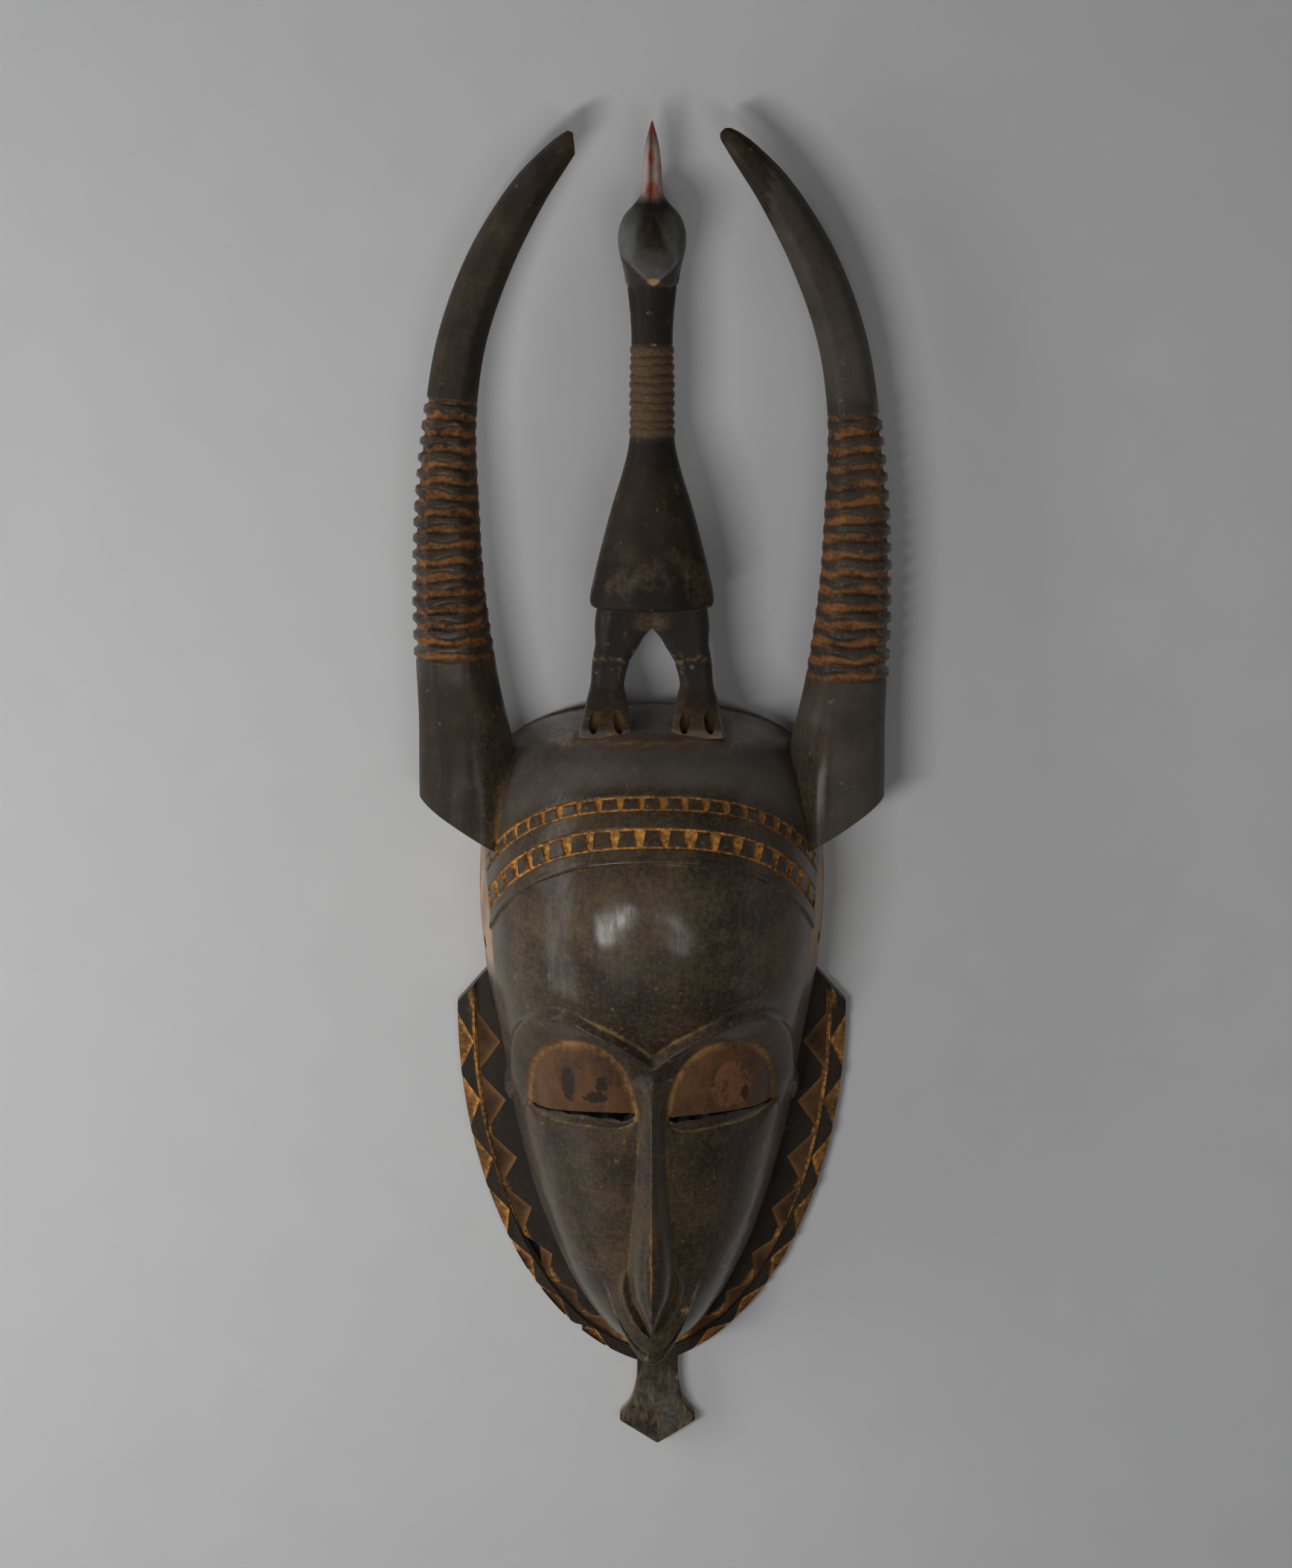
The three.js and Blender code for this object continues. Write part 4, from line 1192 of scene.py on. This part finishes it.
def neighbour_mean(values, edges, rounds):
    """Values spread along the edges."""
    count = np.bincount(edges.ravel(), minlength=len(values))
    for _ in range(rounds):
        total = (np.bincount(edges[:, 0], values[edges[:, 1]], len(values))
                 + np.bincount(edges[:, 1], values[edges[:, 0]], len(values)))
        values = 0.5 * values + 0.5 * total / np.maximum(count, 1)
    return values


def hollowness(places, normals, edges):
    """How sharply the surface folds in (positive) or out (negative) at each corner, per millimetre."""
    a, b = edges[:, 0], edges[:, 1]
    line = places[b] - places[a]
    length = np.maximum((line ** 2).sum(1), 1e-4)
    from_a = (normals[a] * line).sum(1) / length
    from_b = -(normals[b] * line).sum(1) / length
    total = np.bincount(a, from_a, len(places)) + np.bincount(b, from_b, len(places))
    return total / np.maximum(np.bincount(edges.ravel(), minlength=len(places)), 1)


def store(mesh, name, values, domain="POINT"):
    layer = mesh.attributes.new(name, "FLOAT", domain)
    layer.data.foreach_set("value", np.clip(np.asarray(values, float), 0, 1).astype(np.float32))


def ring_grooves(places):
    """1 in the grooves between the horns' rings."""
    y, grooves = places[:, 1], np.zeros(len(places))
    line = smooth_line(HORN)(np.linspace(0, 1, 2001))
    middle = np.interp(y, line[:, 1], line[:, 0])
    for side_name, sign in (("right", 1), ("left", -1)):
        span = RINGS[side_name]
        low, high, _ = span
        x = places[:, 0] * sign
        turn = np.arctan2(x - middle, (places[:, 2] - HORN_HEIGHT[0] + 1.5) / HORN_THICKNESS)
        near = (x > 45) & (y > low - 2) & (y < high + 2)
        wave = (1 - ring_wave(y, turn, span)) * step(low - 1.5, low + 1, y) * step(high + 1.5, high - 1, y)
        grooves = np.maximum(grooves, wave * near)
    return grooves


def ovals(x, y, marks, fade=0.25):
    """1 inside any of some ovals, given by middle, half width and half length, fading across their edges."""
    away = [np.hypot((x - mark[0]) / mark[2], (y - mark[1]) / mark[3]) for mark in marks]
    return step(1 + fade, 1 - fade, np.minimum.reduce(away))


def on_face(places):
    x, y, z = places.T
    return (np.abs(x) < HALF_WIDTH) & (y < 40) & (z > 2)


def fold_marks(places, normals, edges):
    """Dirt in the folds and wear on the ridges, and the dark ground of the collar."""
    x, y, z = places.T
    fold = hollowness(places, normals, edges)
    soft, broad = neighbour_mean(fold, edges, 3), neighbour_mean(fold, edges, 14)
    flat = (z < COLLAR["thickness"] + 2) & (y < -74)
    by_nose = (np.abs(x) < 16) & (y < -192) & (z > 50)
    fork = (np.abs(x) < 12) & (y > 76) & (y < 92)
    less = np.where(flat, 0.12, 1) * np.where(by_nose, 0.35, 1) * np.where(fork, 0.3, 1)
    seams = step(0.05, 0.35, soft) + 0.6 * step(0.03, 0.14, broad)
    return {"crevice": seams * (z > 2) * less, "dark": flat, "ridge": step(-0.12, -0.5, soft) * (z > 2)}


def face_marks(places, edges):
    x, y, z = places.T
    side, plane, face = np.abs(x), plane_of(places), on_face(places)
    reach = lid_reach(side, y)
    lid = (reach < 1.06) & (y > slit_line((side - EYE["x"]) / EYE["half"]) - 0.5) & (z > 40)
    rim = step(0.92, 0.985, reach) * step(1.06, 1.01, reach) * (y > slit_line(0) - 3) * (z > 40)
    crest = step(0.5, 0.2, np.abs(x + 0.3 + 0.15 * np.sin(0.6 * y))) * (z > 80)
    crest = crest * step(-204, -198, y) * step(-166, -174, y)
    raw = raw_wall(places) * (side < 78) * (side > 55) * (y < 0)
    return {
        "dust": face * (0.55 * step(40, 0, np.abs(plane + 30)) + 0.3 * step(-120, -230, y)),
        "gloss": face * step(-86, -50, plane) * step(60, 34, side),
        "lid": neighbour_mean(lid.astype(float), edges, 1),
        "lid_rim": rim,
        "bare_lid": ovals(x, y, BARE_LID, 0.8) * lid,
        "worn_lid": ovals(x, y, WORN_LID) * lid,
        "crest": np.maximum(crest, 0.7 * ovals(x, y, BEARD_PIT, 0.6)),
        "raw": np.maximum(raw, z < 0.3),
        "beard": step(-262, -266, y),
    }, lid


def upper_marks(places, normals, lid):
    """The crown and the horns."""
    x, y, z = places.T
    side, face = np.abs(x), on_face(places)
    crown = step(0.6, 0.8, normals[:, 1]) * (y > 34) * (y < 45) * (z > 0.5)
    ringed = (side > 50) * step(58, 62, y) * step(182, 178, y)
    upper = np.maximum(step(44, 52, y), (side > 76) * (y > -30))
    # Painted sheen: grey on the crown above the headbands and on the horns, less on their rings, the right
    # horn much more than the left
    crown_sheen = face * step(30, 42, plane_of(places)) * step(70, 56, side)
    horn_sheen = step(-30, -10, y) * (side > 50) * np.where(x > 0, 0.6, 0.1) * (1 - 0.7 * ringed)
    return {
        "plateau": crown * (side < 34),
        "bare_edge": crown * np.maximum(0.5 * (side > 34), step(22, 10, z)),
        "painted_sheen": np.maximum(crown_sheen, horn_sheen * (1 - face)),
        "upper": upper,
        "matt": np.maximum(upper * (1 - 0.9 * ringed), lid),
        "rust": ring_grooves(places),
    }


def bird_marks(places):
    x, y, z = places.T
    side, front = np.abs(x), z > 34
    head = (side < 16) * step(228.4, 229.4, y)
    fold = y - 229.8 - 0.93 * np.abs(x - 0.5)
    # Painted light on the bird's head: slate sheen on its sides, left out inside the tongue fold as painted
    # shade
    sides = np.maximum(step(2, 10, side), 0.75 * step(247, 241, y))
    sides = sides * (1 - 0.8 * step(-0.4, -1.6, fold) * front)
    # Painted highlight: a light line along the fold of the bird's head
    fold_highlight = 0.3 * bell(fold, 0.7) * head * step(240, 237, y) * front
    beak = step(262, 268, y) * (side < 12)
    return {
        "bird": (side < 31) * step(46, 56, y) * (1 - 0.6 * head),
        "bird_head": head * step(264, 258, y) * sides,
        "neck": (side < 12) * step(163, 167, y) * step(205, 202, y),
        "hem": (side < 27) * step(91, 96, y) * step(124, 108, y) * (z > 30),
        # The beak's own colour, and the painted highlight along the head's fold
        "beak": np.maximum(beak * (0.35 + 0.65 * step(0.3, 2, side)), fold_highlight),
        "beak_red": ovals(x, y, RED_MARKS) * beak,
    }


def line_marks(places):
    """Worn lines of ochre, and the gilt lines of the headbands and the collar's ridge."""
    x, y, z = places.T
    side, feet = np.abs(x), (np.abs(x) < 30) * (z > 30)
    knee = bell(y - 70.5 - 0.3 * np.sin(1.3 * x) + 0.02 * (side - 21) ** 2, 0.35) * feet
    crease = bell(y - 36.4 - 0.4 * np.sin(0.5 * x), 0.5) * feet
    crack = bell(x - np.interp(-y, *CRACK), 0.6) * step(-202, -197, y) * step(-140, -146, y)
    worn = np.maximum.reduce([0.6 * knee, 0.5 * crease, 0.4 * crack, ovals(x, y, WORN_SPOTS)])
    bands = band_lines(plane_of(places)) * (side < 70) * (z > 34) * (y < 40)
    top, half = COLLAR["thickness"], RIDGE["half"]
    on_collar = (z > top - 1) & (z < top + 1.2) & (y < -80)
    ridge = step(half + 0.5, half - 0.1, np.abs(collar_inset(x, y) - RIDGE["inset"] - 0.3)) * on_collar
    return {"worn_line": worn * (z > 2), "gilt_lines": np.maximum(bands, 0.8 * ridge)}


def add_masks(mesh):
    places, normals, edges = mesh_arrays(mesh)
    on_lids, lid = face_marks(places, edges)
    marks = {**fold_marks(places, normals, edges), **on_lids, **upper_marks(places, normals, lid),
             **bird_marks(places), **line_marks(places)}
    for name, values in marks.items():
        store(mesh, name, values)


def triangle_rims(x, y):
    """1 along the slanting sides of the collar's triangles, fading inwards."""
    nearest = np.full(x.shape, 1e9)
    for triangle in collar_triangles():
        for first, second, tip in triangle:
            for foot in (first, second):
                line = tip - foot
                way = np.clip(((x - foot[0]) * line[0] + (y - foot[1]) * line[1]) / (line @ line), 0, 1)
                away = np.hypot(x - foot[0] - way * line[0], y - foot[1] - way * line[1])
                nearest = np.minimum(nearest, away)
    return bell(nearest, 1.3)


def add_cut_masks(mesh):
    """Faces left by each kind of cutter, named by the material that they came with."""
    names = [m.name for m in mesh.materials]
    kind = np.empty(len(mesh.polygons), int)
    mesh.polygons.foreach_get("material_index", kind)
    owner = np.repeat(np.arange(len(mesh.polygons)), [p.loop_total for p in mesh.polygons])
    vertex = np.empty(len(mesh.loops), int)
    mesh.loops.foreach_get("vertex_index", vertex)
    lines = np.empty(len(mesh.vertices), np.float32)
    mesh.attributes["gilt_lines"].data.foreach_get("value", lines)
    places = mesh_arrays(mesh)[0][vertex]
    x, y = places[:, 0], places[:, 1]
    rims = triangle_rims(x, y)

    def part(name):
        return (kind == names.index(name))[owner].astype(float) if name in names else np.zeros(len(owner))

    collar = y < COLLAR["corner"][1] + 16
    gold, brown = part("gold_cut"), part("brown_cut")
    bare = ovals(x, y, BARE_COLLAR, 0.4)
    left = np.where(collar, 1 - 0.75 * bare, 1 - 0.4 * step(16, 20, plane_of(places)))
    marks = {
        "gilt": np.maximum(gold * np.where(collar, 0.22 + 0.7 * rims, 1), lines[vertex]) * left,
        "browned": gold * ~collar * (1 - left),
        "stained": np.maximum(brown, gold * collar) * (1 - 0.6 * bare),
        "rims": rims * brown * collar,
        "inside": part("raw_cut"),
        # Painted shade on the faces that the slits, rim holes and collar breaks left
        "painted_shade": part("slit_cut"),
    }
    for name, values in marks.items():
        store(mesh, name, values, "CORNER")
    mesh.attributes.remove(mesh.attributes["gilt_lines"])


# The whole mask

def mask():
    body = head()
    body = worked(body, "DIFFERENCE", [gaps()])
    plate = worked(collar(), "DIFFERENCE", collar_cuts())
    parts = [plate, beard(), horn("right"), horn("left"), bird_body(), bird_head(), *legs()]
    body = worked(body, "UNION", parts)
    cutters = [toe_slots(), hollow(), slit(1), slit(-1), *(rim_hole(*hole) for hole in RIM_HOLES)]
    return worked(body, "DIFFERENCE", cutters)


def soften(mesh, angle=38):
    """Smooth shading, with a hard line along sharp folds."""
    mesh.shade_smooth()
    bm = bmesh.new()
    bm.from_mesh(mesh)
    for edge in bm.edges:
        edge.smooth = edge.calc_face_angle(0) < math.radians(angle)
    bm.to_mesh(mesh)
    bm.free()


# Stand-in materials that tell which faces a cutter left
patina, gold_cut, brown_cut, raw_cut, slit_cut = (
    bpy.data.materials.new(name) for name in ("patina", "gold_cut", "brown_cut", "raw_cut", "slit_cut"))
carving = mask()
carving.name = "carved_mask"
add_masks(carving.data)
add_cut_masks(carving.data)
carving.data.transform(Matrix.Scale(MM, 4))
soften(carving.data)
carving.data.materials.clear()
carving.data.materials.append(patinated_wood())
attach(carving, "root")
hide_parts("mask")


# Floor, light and camera

# Each light: its place, what it is aimed at, its two sides and its power
LIGHTS = [
    ("left_light", (-0.36, -0.12, 0.92), (0, -0.02, 0.06), (0.1, 0.42), 5.2),
    ("right_light", (0.28, -0.17, 1.3), (0, -0.02, 0.06), (0.14, 0.5), 2.1),
    ("left_side_light", (-1.05, 0, 0.34), (-0.35, 0, 0), (1.8, 0.5), 11),
    ("right_side_light", (1.1, -0.1, 0.2), (0.08, -0.1, 0.02), (1.6, 0.4), 1.4),
]
SKY, SKY_STRENGTH = (0.62, 0.62, 0.63), 0.17


def floor():
    bm = bmesh.new()
    bmesh.ops.create_grid(bm, x_segments=1, y_segments=1, size=4)
    as_object(bm, "floor", floor_paint())


def soft_light(name, place, aim, size, power):
    data = bpy.data.lights.new(name, "AREA")
    data.shape = "RECTANGLE"
    data.size, data.size_y = size
    data.energy = power
    lamp = bpy.data.objects.new(name, data)
    lamp.location = place
    lamp.rotation_euler = (Vector(aim) - Vector(place)).to_track_quat("-Z", "Y").to_euler()
    bpy.context.scene.collection.objects.link(lamp)


def lights():
    for light in LIGHTS:
        soft_light(*light)
    world = bpy.data.worlds.new("studio")
    world.use_nodes = True
    sky = world.node_tree.nodes["Background"].inputs
    sky["Color"].default_value = (*SKY, 1)
    sky["Strength"].default_value = SKY_STRENGTH
    bpy.context.scene.world = world


# The picture's frame in pixels, and the camera's place over the mask as it lies
PICTURE = (1736, 2107)
FOCAL_PIXELS = 5625
CAMERA_TARGET = Vector((-0.00256, 0.0154, 0.040))
CAMERA_TILT = math.radians(12)
CAMERA_DISTANCE = 1.8


def camera():
    data = bpy.data.cameras.new("camera")
    data.sensor_width = 36
    data.lens = FOCAL_PIXELS / max(PICTURE) * data.sensor_width
    viewer = bpy.data.objects.new("camera", data)
    back = Vector((0, math.sin(CAMERA_TILT), math.cos(CAMERA_TILT)))
    viewer.location = CAMERA_TARGET + CAMERA_DISTANCE * back
    viewer.rotation_euler = (-CAMERA_TILT, 0, 0)
    bpy.context.scene.collection.objects.link(viewer)
    bpy.context.scene.camera = viewer


floor()
lights()
camera()
bpy.context.scene.view_settings.view_transform = "Standard"
